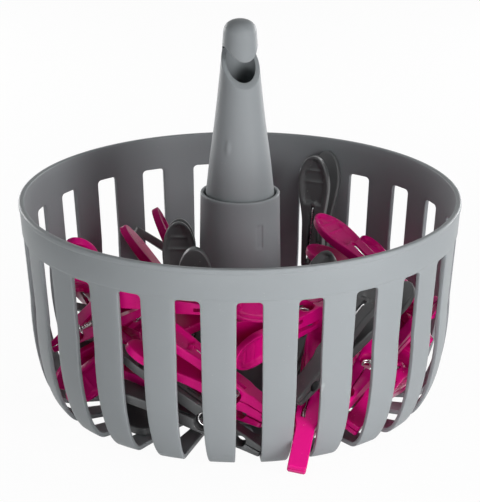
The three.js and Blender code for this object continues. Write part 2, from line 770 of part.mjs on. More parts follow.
// The load of pegs, in the order that they went in: where each one's middle came down, round from
// -Y towards +X and out as a share of the tub's reach, then the way its grips point, their rise and
// the roll; one that is held in a slot has its height as a share of the waist's
const PINK = 'pink';
const GREY = 'grey';
const LOAD = [
  { colour: PINK, round: 7.83, out: 0.745, height: 0.4537, heading: 150, rise: 30, roll: 12 },
  { colour: GREY, round: -88, out: 0.6554, heading: 2, rise: 10, roll: 10 },
  { colour: PINK, round: -44, out: 0.6554, heading: -134, rise: 12, roll: 20 },
  { colour: PINK, round: 38, out: 0.6554, heading: 128, rise: 10, roll: -15 },
  { colour: PINK, round: 152, out: 0.6554, heading: 242, rise: 0, roll: 90, leans: true },
  { colour: GREY, round: 139, out: 0.7746, heading: 139, rise: 82, roll: 0, leans: true },
  { colour: GREY, round: 86, out: 0.6554, heading: -4, rise: 12, roll: 10 },
  { colour: PINK, round: 94, out: 0.7547, heading: 184, rise: 14, roll: 20, leans: true },
  { colour: GREY, round: -138, out: 0.6554, heading: -48, rise: 12, roll: 10 },
  { colour: GREY, round: -116, out: 0.3277, heading: 162, rise: 76, roll: 0, leans: true },
  { colour: GREY, round: -36, out: 0.3774, heading: -24, rise: 79, roll: 5, leans: true },
  { colour: PINK, round: -162, out: 0.5164, heading: -108, rise: 60, roll: 0, leans: true },
  { colour: PINK, round: 85, out: 0.66, heading: 207, rise: 17, roll: 0, leans: true },
  { colour: PINK, round: -70, out: 0.7746, heading: 20, rise: 35, roll: 10, leans: true },
  { colour: PINK, round: -24, out: 0.7746, heading: -114, rise: 32, roll: -10, leans: true },
  { colour: GREY, round: 20, out: 0.7746, heading: 110, rise: 35, roll: 10, leans: true },
  { colour: GREY, round: 176, out: 0.7746, heading: 266, rise: 30, roll: 10, leans: true },
  { colour: PINK, round: -118, out: 0.7746, heading: -28, rise: 38, roll: 0, leans: true },
  { colour: GREY, round: 50, out: 0.40, heading: 130, rise: 45, roll: 0, leans: true },
];

const COLOURS = {
  pink: { color: 0xd0127f, roughness: 0.38, metalness: 0 },
  grey: { color: 0x5d6163, roughness: 0.45, metalness: 0 },
  wire: { color: 0xc4c7c9, roughness: 0.25, metalness: 1 },
  shell: { color: 0x8f9496, roughness: 0.5, metalness: 0 },
};

function named(name, geometry, colour) {
  const mesh = new THREE.Mesh(geometry, new THREE.MeshStandardMaterial(COLOURS[colour]));
  mesh.name = name;
  return mesh;
}

function makePeg(number, colour, pose) {
  const label = `peg_${String(number).padStart(2, '0')}`;
  const peg = new THREE.Group();
  peg.name = label;
  peg.userData.colour = colour;
  const lever = named(`${label}_lever`, leverGeometry, colour);
  const opposite = named(`${label}_sprung_lever`, leverGeometry, colour);
  opposite.rotation.z = Math.PI;
  peg.add(lever, opposite, named(`${label}_spring`, springGeometry, 'wire'));
  poseMatrix(pose).decompose(peg.position, peg.quaternion, peg.scale);
  return peg;
}

// Assembly

const basketSolid = makeBasket();
const basket = new THREE.Group();
basket.name = 'peg_basket';
basket.add(named('basket_tub', geometryOf(basketSolid), 'shell'));
basket.add(named('hook_handle', geometryOf(makeHandle()), 'shell'));

const lying = [];
LOAD.forEach((row, i) => {
  const away = row.round * RAD;
  const out = row.out * tubReach;
  const height = row.height ? row.height * WAIST_HEIGHT : START_HEIGHT;
  const middle = new THREE.Vector3(out * Math.sin(away), -out * Math.cos(away), height);
  const dropped = { middle, turn: pegTurn(row.heading, row.rise, row.roll) };
  const settled = row.height ? dropped : letGo(dropped, lying, row.leans);
  const forms = [basketSolid, ...lying.map((peg) => peg.form)];
  const rooms = [basketSolid, ...lying.map((peg) => peg.room)];
  const pose = nestle(settled, Boolean(row.height), forms, rooms);
  const form = placed(pegFormGeometry, pose);
  lying.push({ boxes: boxesAt(pose), form, room: placed(pegRoomGeometry, pose) });
  basket.add(makePeg(i + 1, row.colour, pose));
});

console.log(`spring wire, least gap to itself: ${leastGap(springPath()).toFixed(2)} mm`);

export default basket;
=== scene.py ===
# Peg basket: the looks of the tub, the hook handle and the pegs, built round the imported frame.
# Sizes are in millimetres until a mesh is made, and angles run round from -Y towards +X in degrees.
import json
import math

import bmesh
import bpy
import numpy as np
from mathutils import Matrix, Vector

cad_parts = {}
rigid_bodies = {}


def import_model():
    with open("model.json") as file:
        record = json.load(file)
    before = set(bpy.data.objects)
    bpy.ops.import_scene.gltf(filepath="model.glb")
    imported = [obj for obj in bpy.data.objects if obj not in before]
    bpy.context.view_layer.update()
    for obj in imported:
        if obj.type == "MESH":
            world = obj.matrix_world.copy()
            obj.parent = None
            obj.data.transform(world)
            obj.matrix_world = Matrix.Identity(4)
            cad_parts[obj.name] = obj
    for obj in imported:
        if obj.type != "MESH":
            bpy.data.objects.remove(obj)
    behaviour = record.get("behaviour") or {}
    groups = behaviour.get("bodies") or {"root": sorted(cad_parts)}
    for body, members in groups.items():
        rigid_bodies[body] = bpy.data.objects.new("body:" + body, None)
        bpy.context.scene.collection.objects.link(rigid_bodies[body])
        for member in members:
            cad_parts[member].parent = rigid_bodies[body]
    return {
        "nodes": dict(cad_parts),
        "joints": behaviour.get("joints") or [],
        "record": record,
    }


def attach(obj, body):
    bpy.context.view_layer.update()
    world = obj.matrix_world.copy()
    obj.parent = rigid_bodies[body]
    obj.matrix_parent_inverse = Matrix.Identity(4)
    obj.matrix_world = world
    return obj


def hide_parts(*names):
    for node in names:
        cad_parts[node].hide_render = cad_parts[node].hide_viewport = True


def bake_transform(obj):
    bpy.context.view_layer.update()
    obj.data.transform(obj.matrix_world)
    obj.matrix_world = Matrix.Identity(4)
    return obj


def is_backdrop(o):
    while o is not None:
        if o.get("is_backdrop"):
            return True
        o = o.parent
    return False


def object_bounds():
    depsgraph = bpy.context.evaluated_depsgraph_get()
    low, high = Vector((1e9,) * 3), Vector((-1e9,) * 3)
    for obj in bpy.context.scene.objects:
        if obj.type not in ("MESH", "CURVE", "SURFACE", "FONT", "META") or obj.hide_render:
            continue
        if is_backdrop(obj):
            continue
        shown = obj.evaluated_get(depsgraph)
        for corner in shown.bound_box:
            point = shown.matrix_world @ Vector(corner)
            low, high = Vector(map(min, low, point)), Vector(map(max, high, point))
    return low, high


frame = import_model()
cad_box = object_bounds()

MM = 0.001
BEVEL_STEPS = 3
WELD_REACH = 0.004
SAME_ANGLE = 1e-6

# Tub
TUB_HEIGHT = 101.0
RIM_RADIUS = 105.0
RIM_BEAD_HEIGHT = 2.8
RIM_BEAD_PROUD = 0.5
WAIST_HEIGHT = 54.0
WAIST_RADIUS = 100.7
FOOT_RADIUS = 83.4
TUB_WALL = 2.2
BASE_THICKNESS = 2.4
BAND_PROUD = 0.32
BAND_ROW = 92.0
CORNER_ROWS = 20
BASE_ROWS = (12.0, 24.0, 36.0, 46.5)
BAND_INSIDE_ROWS = (96.0, 91.0)

# Rounded edges of the rim and of the column's collar: how far aside and how far down each row lies
RIM_OUTER_EASE = ((0.0, 0.9), (0.12, 0.45), (0.45, 0.12), (0.9, 0.0))
RIM_INNER_EASE = ((0.7, 0.0), (0.3, 0.1), (0.1, 0.3), (0.0, 0.7))
COLLAR_OUTER_EASE = ((0.0, 0.5), (0.12, 0.15), (0.4, 0.0))
COLLAR_INNER_EASE = ((0.4, 0.0), (0.1, 0.12), (0.0, 0.45))

# Slots
SLOT_COUNT = 23
SLOT_HALF = 5.9
SLOT_TOP = 84.8
SLOT_CORNER = 2.0
SLOT_END_RADIUS = 48.0
SLOT_TIP_HALF = 0.45
SLOT_COLUMNS = 4
STAVE_COLUMNS = 6
SLOT_EDGE_ROUND = 0.42
SLOT_END_SHARES = (0.01, 0.06, 0.17, 0.34, 0.6, 1.0)
SLOT_BASE_ROWS = (58.0, 66.0, 74.0)
SLOT_WALL_ROWS = (62.0, 70.0, 78.0)
SLOT_CORNER_SHARES = (1.0, 0.7, 0.45, 0.25, 0.1, 0.0)

# Column and its keys
COLUMN_HEIGHT = 103.0
COLUMN_TOP_RADIUS = 18.8
COLUMN_FOOT_RADIUS = 20.5
COLUMN_FILLET = 3.0
FILLET_STEPS = 5
COLUMN_ROWS = (16.0, 30.0, 45.0, 60.0, 72.0)
COLLAR_ROWS = (97.0, 101.0)
SOCKET_FOOT_ROW = 70.0
SHAFT_ROW = 40.0
SOCKET_RADIUS = 17.3
SOCKET_DEPTH = 41.0
SOCKET_LEDGE = 2.0
KEY_ANGLES = (11.0, 191.0)
KEY_HALF = 1.7
KEY_BOTTOM = 80.0
KEY_TOP = 91.0
KEY_DEPTH = 0.9
KEY_DENT = 0.55
KEY_SIDE_EASE = 0.3
KEY_END_EASE = 0.5
KEY_ROWS = [78.0 + 0.75 * step for step in range(21)]

# Hook handle
HANDLE_HEIGHTS = (62.3, 95.0, 100.0, 120.0, 135.0, 149.5, 165.0, 175.0, 181.0)
HANDLE_RADII = (17.0, 17.0, 16.5, 14.4, 12.35, 10.7, 9.15, 8.32, 7.8)
HANDLE_TOP = 187.0
HANDLE_WALL = 2.2
HANDLE_CROWN = 3.0
HANDLE_COLUMNS = 120
HANDLE_EASE = np.linspace(-4.0, 4.0, 9)
DOME_FULLNESS = 0.85
KEYWAY_HALF = 2.0
KEYWAY_TOP = 91.3
MOUTH_FRONT = 9.0
MOUTH_BACK = 4.6
LIP_HEIGHT = 156.9
LIP_SLOPE = math.tan(math.radians(48.5))
TONGUE_HEIGHT = 168.0
TONGUE_SLOPE = math.tan(math.radians(50.5))
MOUTH_CEILING = 174.5
MOUTH_ROUND = 1.1
MOUTH_EDGE_ROUND = 0.4
MOUTH_PASSES = 12
SEAM_HEIGHT = 0.8
GATE_ANGLE = -43.6
GATE_HEIGHT = 128.0
GATE_HALVES = (1.2, 2.7)
GATE_PROUD = 0.55
FOOT_ROWS = (62.3, 68.0, 76.0, 84.0, KEYWAY_TOP)
SHAFT_ROWS = (95.0, 99.0, 102.0, *(105.0 + 1.25 * step for step in range(37)))
KEYED_HEIGHTS = (100.0, 148.0)
LIP_STEPS = 14
TONGUE_STEPS = 10
DOME_STEPS = 9

# Peg lever
GRIP_LENGTH = 52.0
JAW_LENGTH = 30.0
HEAD_HALF = 8.0
HEAD_MIDDLE = 37.0
HEAD_REACH = 15.0
BODY_HALF = 5.6
JAW_HALF = 4.4
JAW_CORNER = 1.4
NECK_HEIGHT = 16.4
GRIP_SPREAD = 15.0
GRIP_THICKNESS = 3.4
PIVOT_THICKNESS = 5.9
JAW_THICKNESS = 2.4
JAW_GAP = 0.4
SEAT_RADIUS = 4.3
SEAT_LIP = 0.7
SEAT_EDGE = 0.06
NOTCH_RADIUS = 2.6
NOTCH_DROP = 19.0
NOTCH_DEPTH = 0.92
EDGE_ROUND = 0.55
JAW_EDGE_SHARE = 0.4
CREASE_ANGLE = math.radians(50)
DISH_HALF = 6.5
DISH_REACH = 13.5
DISH_DEPTH = 1.4
DISH_STEP = 0.9
RIDGE_HEIGHTS = (44.4, 38.6)
RIDGE_PROUD = 0.3
RIDGE_HALF = 0.55
LAND_HALF = 2.4
LAND_EASE = (-0.35, 0.15)
WINDOW_SIDES = (-4.0, -2.2)
WINDOW_ENDS = (14.0, 7.0)
WINDOW_COLUMNS = (6, 7)
SEAT_ENDS = (3.9, -3.3)
SEAT_COLUMNS = (9, 11)
CHANNEL_COLUMNS = (-1.1, -0.95, 0.0, 0.95, 1.1)
CHANNEL_EASE = (0.94, 1.11)
CHANNEL_FOOT = (-4.0, -3.4)
CHANNEL_END = (0.8, 1.4)
CHANNEL_ROOM = 0.35
CHANNEL_FLOOR = 0.5
BODY_COLUMN = 3.9
RIM_SHARES = (0.3, 0.55, 0.75, 0.9, 0.975, 1.0)

# Peg spring
WIRE = 1.2
COIL_RADIUS = 3.2
COIL_TURNS = 2.5
COIL_PITCH = 1.7
COIL_STEPS = 18
WIRE_SIDES = 10
WIRE_DOME = ((0.55, 0.35), (0.3, 0.8))
ARM_RISE = 25.0
ARM_DEPTH = 0.75
ARM_SHARES = (1.0, 0.985, 0.95, 0.85, 0.65, 0.45, 0.25, 0.12, 0.05)
ARM_HOOK = 0.5
ARM_HOOK_START = 0.955

# Loose pegs that fill the tub round the frame's own: they are shaken into free room, then let sink
LOOSE_ROUNDS = 2
LOOSE_PER_ROUND = 12
LOOSE_SEED = 12
LOOSE_STARTS = 30000
LOOSE_KEPT = 3200
LOOSE_REACH = (34.0, 94.0)
LOOSE_CEILING = 96.0
LOOSE_GAP = 0.3
OPENINGS = (5.0, 10.0, 15.0)
SHAKES = 50
SHAKE_MOVES = (7.0, 1.2)
SHAKE_TURNS = (0.3, 0.04)
LEAST_GAIN = 6.0
FILL_STEP = 0.9
FILL_START = 0.5
FILL_LAYERS = 5
FEW_POINTS = 331
SOME_POINTS = 37
PINK_STRETCH = (-100.0, -8.0)
PINK_FLOOR = 30.0

# Sides from which the slots should look full, with their weights, and the cells of the slots' openings
SIGHT_SIDES = ((0.0, 2.0), (90.0, 1.0), (180.0, 1.0), (270.0, 1.0))
SIGHT_SLOPE = 0.36
SIGHT_DEPTH = 70.0
SIGHT_CELL = 2.0
SIGHT_COLUMNS = 6
SIGHT_ROWS = 43
SIGHT_SKIP = 5
SIGHT_PASSES = 3

# Finishes
# Each finish's edge colour and its share lighten sharp edges: partly handling wear, partly a painted
# edge highlight.
SHELL_GREY = dict(
    colour=(0.27, 0.29, 0.302), worn=(0.52, 0.54, 0.55), wear_and_highlight=0.75, dust=0.25, roughness=0.46,
    shine=0.2, cloud=0.05, cloud_scale=22.0, bump=0.25,
)
PEG_PINK = dict(
    colour=(0.7, 0.002, 0.205), worn=(0.8, 0.08, 0.4), wear_and_highlight=0.35, dust=0.4, roughness=0.3,
    shine=0.15, cloud=0.12, cloud_scale=60.0, bump=0.15,
)
PEG_GREY = dict(
    colour=(0.09, 0.094, 0.096), worn=(0.2, 0.21, 0.215), wear_and_highlight=0.4, dust=0.5, roughness=0.36,
    shine=0.4, cloud=0.1, cloud_scale=60.0, bump=0.2,
)
GRAIN_HEIGHT = 0.00004
GRAIN_SHINE = 0.12
CLOUD_SHINE = 0.1
EDGE_BREAKS = (0.35, 0.65)
DUST_COLOUR = (0.72, 0.72, 0.7, 1)
DUST_SPECKS = (0.1, 0.22)
DUST_PATCH_SCALE = 260.0
DUST_PATCHES = (0.58, 0.72)
DUST_FACING = (-0.4, 0.9)
DUST_UNDERNEATH = 0.25
WIRE_DULL = (0.5, 0.5, 0.51, 1)
WIRE_BRIGHT = (0.8, 0.8, 0.8, 1)
WIRE_PATCH_SCALE = 380.0
WIRE_PATCHES = (0.3, 0.7)
WIRE_ROUGHNESS = (0.14, 0.32)
WHITE = (1, 1, 1, 1)

# Camera, as the photograph was taken
VIEW_TARGET = Vector((0, 0, 60)) * MM
VIEW_AZIMUTH = -18.07
VIEW_ELEVATION = 19.93
VIEW_DISTANCE = 1.266
VIEW_LENS = 189.0
VIEW_SENSOR = 36.0
VIEW_SHIFT = 0.0504
VIEW_END = 50.0

# Floor, in metres
FLOOR_REACH = 6.0
FLOOR_DROP = 0.0003
FLOOR_COLOUR = (0.86, 0.86, 0.86, 1)
FLOOR_ROUGHNESS = 0.9
FLOOR_GLOW = 0.96

# Lights: angle from the camera, elevation, distance and size in metres, height aimed at, watts
ROOM_LIGHT = 0.015
SOFTBOXES = (
    ("key_right", 42, 20, 0.9, (0.35, 0.35), 60, 3.5),
    ("low_right", 52, 3, 0.42, (0.35, 0.12), 35, 0.54),
    ("low_left", -62, 4, 0.42, (0.3, 0.15), 40, 0.13),
    ("low_front", -5, 3, 0.45, (0.35, 0.1), 35, 0.65),
    ("top", 0, 86, 1.2, (0.3, 0.3), 60, 1.6),
    ("back_right", 138, 8, 0.8, (0.5, 0.3), 60, 3.4),
    ("back_left", -138, 8, 0.8, (0.5, 0.3), 60, 3.4),
)


# Meshes

def smoothstep(low, high, value):
    share = np.clip((value - low) / (high - low), 0.0, 1.0)
    return share * share * (3.0 - 2.0 * share)


def signed(angle):
    """An angle as one from -180 to 180."""
    return (angle + 180.0) % 360.0 - 180.0


def add_ring(points, radii, heights, angles):
    """Adds one ring of points and gives their numbers."""
    first = len(points)
    turn = np.radians(angles)
    radii = np.broadcast_to(radii, turn.shape)
    heights = np.broadcast_to(heights, turn.shape)
    points.extend(zip(radii * np.sin(turn), -radii * np.cos(turn), heights))
    return list(range(first, len(points)))


def add_band(faces, ring, following, open_columns=()):
    """Joins two rings, apart from the columns that are open."""
    count = len(ring)
    for column in range(count):
        if column not in open_columns:
            after = (column + 1) % count
            faces.append((ring[column], ring[after], following[after], following[column]))


def add_cap(points, faces, ring, height):
    """Closes a ring with a point on the axis."""
    pole = len(points)
    points.append((0.0, 0.0, height))
    count = len(ring)
    for column in range(count):
        faces.append((ring[column], ring[(column + 1) % count], pole))


def add_wall(faces, path, opposite):
    """Joins two paths of points side by side, and gives the edges of both."""
    edges = []
    for step in range(len(path) - 1):
        faces.append((path[step], path[step + 1], opposite[step + 1], opposite[step]))
        edges.append((path[step], path[step + 1]))
        edges.append((opposite[step], opposite[step + 1]))
    return edges


def add_hole(faces, outer, inner, rows, columns, notch=False):
    """Walls a hole through two faces, or a notch open at its first row, and gives the edges."""
    left, right = columns
    edges = []
    for column in columns:
        paths = [[row[column] for row in face[rows[0]:rows[1] + 1]] for face in (outer, inner)]
        edges += add_wall(faces, *paths)
    for row in rows[1:] if notch else rows:
        edges += add_wall(faces, outer[row][left:right + 1], inner[row][left:right + 1])
    return edges


def mesh_from(name, sheet):
    mesh = bpy.data.meshes.new(name)
    sheet.to_mesh(mesh)
    sheet.free()
    return mesh


def make_mesh(name, points, faces, sharp_edges=(), rounding=0.0):
    """A closed smooth mesh in metres, with the named edges rounded over."""
    sheet = bmesh.new()
    corners = [sheet.verts.new(point) for point in points]
    for face in faces:
        sheet.faces.new([corners[i] for i in face])
    picked = [sheet.edges.get((corners[a], corners[b])) for a, b in sharp_edges]
    bmesh.ops.recalc_face_normals(sheet, faces=sheet.faces)
    if picked:
        bmesh.ops.bevel(
            sheet,
            geom=list(dict.fromkeys(picked)),
            offset=rounding,
            segments=BEVEL_STEPS,
            profile=0.5,
            affect="EDGES",
            clamp_overlap=False,
        )
    bmesh.ops.remove_doubles(sheet, verts=sheet.verts, dist=WELD_REACH)
    bmesh.ops.scale(sheet, vec=(MM, MM, MM), verts=sheet.verts)
    for face in sheet.faces:
        face.smooth = True
    return mesh_from(name, sheet)


def add_object(name, data, material=None):
    piece = bpy.data.objects.new(name, data)
    bpy.context.scene.collection.objects.link(piece)
    if material:
        data.materials.append(material)
    return piece


# Tub

def wall_radius(height):
    slope = (RIM_RADIUS - RIM_BEAD_PROUD - WAIST_RADIUS) / (TUB_HEIGHT - WAIST_HEIGHT)
    return WAIST_RADIUS + slope * (height - WAIST_HEIGHT)


def column_radius(height):
    return COLUMN_FOOT_RADIUS + (COLUMN_TOP_RADIUS - COLUMN_FOOT_RADIUS) * height / COLUMN_HEIGHT


def slot_rows(wall, floor):
    """Rows of one face along a slot, from its end in the base up: radius, height, half width."""
    rows = []
    end = SLOT_HALF * SLOT_END_RADIUS / FOOT_RADIUS
    for share in SLOT_END_SHARES:
        half = end * math.sqrt(1.0 - (1.0 - share) ** 2)
        rows.append((SLOT_END_RADIUS + end * share, floor, max(half, SLOT_TIP_HALF)))
    for radius in SLOT_BASE_ROWS:
        rows.append((radius, floor, SLOT_HALF * radius / FOOT_RADIUS))
    spread = WAIST_RADIUS - FOOT_RADIUS - wall
    for step in range(CORNER_ROWS + 1):
        turn = math.radians(90 * step / CORNER_ROWS)
        height = WAIST_HEIGHT - (WAIST_HEIGHT - floor) * math.cos(turn)
        rows.append((FOOT_RADIUS + spread * math.sin(turn), height, SLOT_HALF))
    for height in SLOT_WALL_ROWS:
        rows.append((wall_radius(height) - wall, height, SLOT_HALF))
    for share in SLOT_CORNER_SHARES:
        drop = share * SLOT_CORNER
        inset = SLOT_CORNER - math.sqrt(SLOT_CORNER**2 - (SLOT_CORNER - drop) ** 2)
        rows.append((wall_radius(SLOT_TOP - drop) - wall, SLOT_TOP - drop, SLOT_HALF - inset))
    return rows


def eased(radius, height, ease, way):
    """Rows of a rounded edge, with its radii drawn in (-1) or let out (1)."""
    return [(radius + way * aside, height - drop) for aside, drop in ease]


def rim_rows():
    """Rows from the band above the slots over the rim to the inside: radius and height."""
    bead = TUB_HEIGHT - RIM_BEAD_HEIGHT
    band = (
        (SLOT_TOP + 0.7, 0.0), (SLOT_TOP + 0.95, 0.08), (SLOT_TOP + 1.15, BAND_PROUD - 0.06),
        (SLOT_TOP + 1.5, BAND_PROUD), (BAND_ROW, BAND_PROUD), (bead - 0.5, BAND_PROUD),
        (bead - 0.1, BAND_PROUD - 0.12), (bead + 0.15, BAND_PROUD - 0.12),
    )
    rows = [(wall_radius(height) + proud, height) for height, proud in band]
    rows += [(RIM_RADIUS - 0.15, bead + 0.4), (RIM_RADIUS, bead + 0.8)]
    rows += eased(RIM_RADIUS, TUB_HEIGHT, RIM_OUTER_EASE, -1)
    rows += eased(RIM_RADIUS - RIM_BEAD_PROUD - TUB_WALL, TUB_HEIGHT, RIM_INNER_EASE, 1)
    for height in (*BAND_INSIDE_ROWS, SLOT_TOP + 0.8):
        rows.append((wall_radius(height) - TUB_WALL, height))
    return rows


def column_rows():
    """Rows from the tub's floor up the column and over its collar: radius and height."""
    rows = [(radius, BASE_THICKNESS) for radius in BASE_ROWS[:1:-1]]
    foot = column_radius(BASE_THICKNESS + COLUMN_FILLET)
    for step in range(FILLET_STEPS + 1):
        turn = math.radians(90 * step / FILLET_STEPS)
        rows.append((foot + COLUMN_FILLET * (1 - math.sin(turn)),
                     BASE_THICKNESS + COLUMN_FILLET * (1 - math.cos(turn))))
    for height in (*COLUMN_ROWS, *KEY_ROWS, *COLLAR_ROWS):
        rows.append((column_radius(height), height))
    rows += eased(COLUMN_TOP_RADIUS, COLUMN_HEIGHT, COLLAR_OUTER_EASE, -1)
    return rows + eased(SOCKET_RADIUS, COLUMN_HEIGHT, COLLAR_INNER_EASE, 1)


def socket_rows():
    """Rows down the socket to its ledge and on to the base: radius and height."""
    ledge = COLUMN_HEIGHT - SOCKET_DEPTH
    shaft = SOCKET_RADIUS - SOCKET_LEDGE
    heights = (COLLAR_ROWS[0], *KEY_ROWS[::-1], SOCKET_FOOT_ROW, ledge)
    rows = [(SOCKET_RADIUS, height) for height in heights]
    return rows + [(shaft, height) for height in (ledge, SHAFT_ROW, BASE_THICKNESS)]


def slot_angles(radius, half):
    """Angles of a row's columns: each slot's own, then those of the stave beside it."""
    pitch = 360.0 / SLOT_COUNT
    edge = math.degrees(math.asin(half / radius))
    across = np.linspace(-edge, edge, SLOT_COLUMNS + 1)
    stave = np.linspace(edge, pitch - edge, STAVE_COLUMNS + 1)[1:-1]
    one = np.concatenate([across, stave])
    return np.concatenate([one + pitch * number for number in range(SLOT_COUNT)])


def key_share(angles, radius, height):
    """How far a point lies in the dents of the two keys, from 0 to 1."""
    share = np.zeros_like(angles)
    for middle in KEY_ANGLES:
        off = np.abs(signed(angles - middle)) * math.radians(1) * radius
        side = smoothstep(KEY_HALF - KEY_SIDE_EASE, KEY_HALF + KEY_SIDE_EASE, off)
        share = np.maximum(share, 1.0 - side)
    rise = smoothstep(KEY_BOTTOM - KEY_END_EASE, KEY_BOTTOM + KEY_END_EASE, height)
    return share * rise * (1.0 - smoothstep(KEY_TOP - KEY_END_EASE, KEY_TOP + KEY_END_EASE, height))


def make_tub():
    points, faces, rings, edges = [], [], [], []
    outer = slot_rows(0.0, 0.0)
    last = len(outer) - 1
    rows = [(radius, 0.0, SLOT_TIP_HALF) for radius in BASE_ROWS]
    outer_first = len(rows)
    rows += outer
    rows += [(radius, height, SLOT_HALF - SLOT_CORNER) for radius, height in rim_rows()]
    inner_first = len(rows)
    rows += slot_rows(TUB_WALL, BASE_THICKNESS)[::-1]
    column_first = len(rows)
    rows += [(radius, height, SLOT_TIP_HALF) for radius, height in column_rows()]
    socket_first = len(rows)
    rows += [(radius, height, SLOT_TIP_HALF) for radius, height in socket_rows()]
    for number, (radius, height, half) in enumerate(rows):
        angles = slot_angles(radius, half)
        radii = np.full_like(angles, radius)
        if number >= column_first:
            depth = KEY_DEPTH if number >= socket_first else KEY_DENT
            radii = radii - depth * key_share(angles, radius, height)
        rings.append(add_ring(points, radii, height, angles))
    per_pitch = SLOT_COLUMNS + STAVE_COLUMNS
    starts = range(0, SLOT_COUNT * per_pitch, per_pitch)
    slots = {start + column for start in starts for column in range(SLOT_COLUMNS)}
    for number in range(len(rows) - 1):
        cut = any(first <= number < first + last for first in (outer_first, inner_first))
        add_band(faces, rings[number], rings[number + 1], slots if cut else ())
    add_cap(points, faces, rings[0], 0.0)
    add_cap(points, faces, rings[-1], BASE_THICKNESS)
    outside = rings[outer_first:outer_first + last + 1]
    inside = rings[inner_first:inner_first + last + 1][::-1]
    for start in starts:
        edges += add_hole(faces, outside, inside, (0, last), (start, start + SLOT_COLUMNS))
    return make_mesh("tub", points, faces, edges, SLOT_EDGE_ROUND)


# Handle

EVEN_ANGLES = np.arange(HANDLE_COLUMNS) * 360.0 / HANDLE_COLUMNS
MOUTH_LEVEL = (LIP_HEIGHT + LIP_SLOPE * (MOUTH_FRONT + MOUTH_BACK) + MOUTH_CEILING) / 2
LIP_RING = len(FOOT_ROWS) + len(SHAFT_ROWS) + LIP_STEPS - 1


def handle_radius(height):
    """The outside's radius, on a smooth line through the stations."""
    near = [np.interp(np.asarray(height) + shift, HANDLE_HEIGHTS, HANDLE_RADII) for shift in HANDLE_EASE]
    return np.mean(near, axis=0)


def keyway_sides(radius):
    edge = math.degrees(math.asin(KEYWAY_HALF / radius))
    return [(angle + side) % 360.0 for angle in KEY_ANGLES for side in (-edge, edge)]


def nearest_columns(angles):
    return [int(np.argmin(np.abs(signed(EVEN_ANGLES - angle)))) for angle in angles]


def mouth_end(radius):
    """The angle at which the mouth stops, counted from the front."""
    return math.degrees(math.acos(-MOUTH_BACK / radius))


def mouth_angles(radius, outer_end):
    """Angles whose columns at the mouth's end come where a wall of this radius meets it."""
    angles = signed(EVEN_ANGLES)
    end = mouth_end(radius)
    behind = (180.0 - np.abs(angles)) * (180.0 - end) / (180.0 - outer_end)
    inside = np.abs(angles) <= outer_end + SAME_ANGLE
    return np.where(inside, angles * end / outer_end, np.sign(angles) * (180.0 - behind))


def soft_lower(first, second, blend):
    """The lower of two values, with the corner between them eased."""
    share = np.clip(0.5 + (second - first) / (2 * blend), 0.0, 1.0)
    return second + (first - second) * share - blend * share * (1.0 - share)


def mouth_edges(angles, wall):
    """Heights of the lip and of the tongue's edge at each angle of a wall that lies so deep."""
    ahead = np.cos(np.radians(angles))
    farthest = MOUTH_FRONT + MOUTH_BACK

    def depth(height):
        return MOUTH_FRONT - (handle_radius(height) - wall) * ahead

    low = np.full_like(angles, LIP_HEIGHT)
    high = np.full_like(angles, TONGUE_HEIGHT)
    for _ in range(MOUTH_PASSES):
        low = LIP_HEIGHT + LIP_SLOPE * np.minimum(depth(low), farthest)
        tongue = TONGUE_HEIGHT + TONGUE_SLOPE * np.minimum(depth(high), farthest)
        high = soft_lower(tongue, MOUTH_CEILING, 2 * MOUTH_ROUND)
    middle = (low + high) / 2
    past = np.clip((depth(middle) - (farthest - MOUTH_ROUND)) / MOUTH_ROUND, 0.0, 1.0)
    close = 1.0 - np.sqrt(1.0 - past**2)
    return low + (middle - low) * close, high + (middle - high) * close


def gate_rise(angles, radii, height):
    """The moulding gate's small bump on the handle's side."""
    off = signed(angles - GATE_ANGLE) * math.radians(1) * radii
    away = (off / GATE_HALVES[0]) ** 2 + ((height - GATE_HEIGHT) / GATE_HALVES[1]) ** 2
    return GATE_PROUD * np.exp(-away**2)


def handle_rings(points, wall, outer_end):
    """Rings of the outer or inner face from the foot to the dome, and the height of its crown."""
    keyed = EVEN_ANGLES.copy()
    sides = keyway_sides(HANDLE_RADII[0] - wall)
    keyed[nearest_columns(sides)] = sides
    ahead = EVEN_ANGLES
    if wall:
        ahead = keyed + signed(mouth_angles(handle_radius(MOUTH_LEVEL) - wall, outer_end) - keyed)
    rings = []
    for height in FOOT_ROWS + SHAFT_ROWS:
        angles = keyed + signed(ahead - keyed) * float(smoothstep(*KEYED_HEIGHTS, height))
        radii = np.full_like(angles, handle_radius(height) - wall)
        if not wall:
            radii = radii + gate_rise(angles, radii, height)
        rings.append(add_ring(points, radii, height, angles))
    low, high = mouth_edges(ahead, wall)
    closed = np.abs(signed(EVEN_ANGLES)) > outer_end + SAME_ANGLE
    high = np.where(closed, low + SEAM_HEIGHT, high)
    start, neck = SHAFT_ROWS[-1], HANDLE_HEIGHTS[-1]
    rows = [start + (low - start) * step / LIP_STEPS for step in range(1, LIP_STEPS + 1)]
    rows += [high + (neck - high) * step / TONGUE_STEPS for step in range(TONGUE_STEPS + 1)]
    for heights in rows:
        rings.append(add_ring(points, handle_radius(heights) - wall, heights, ahead))
    crown = HANDLE_TOP - (HANDLE_CROWN if wall else 0.0)
    rim = float(handle_radius(neck)) - wall
    for step in range(1, DOME_STEPS):
        turn = math.radians(90.0 * step / DOME_STEPS)
        height = neck + (crown - neck) * math.sin(turn)
        rings.append(add_ring(points, rim * math.cos(turn) ** DOME_FULLNESS, height, ahead))
    return rings, crown


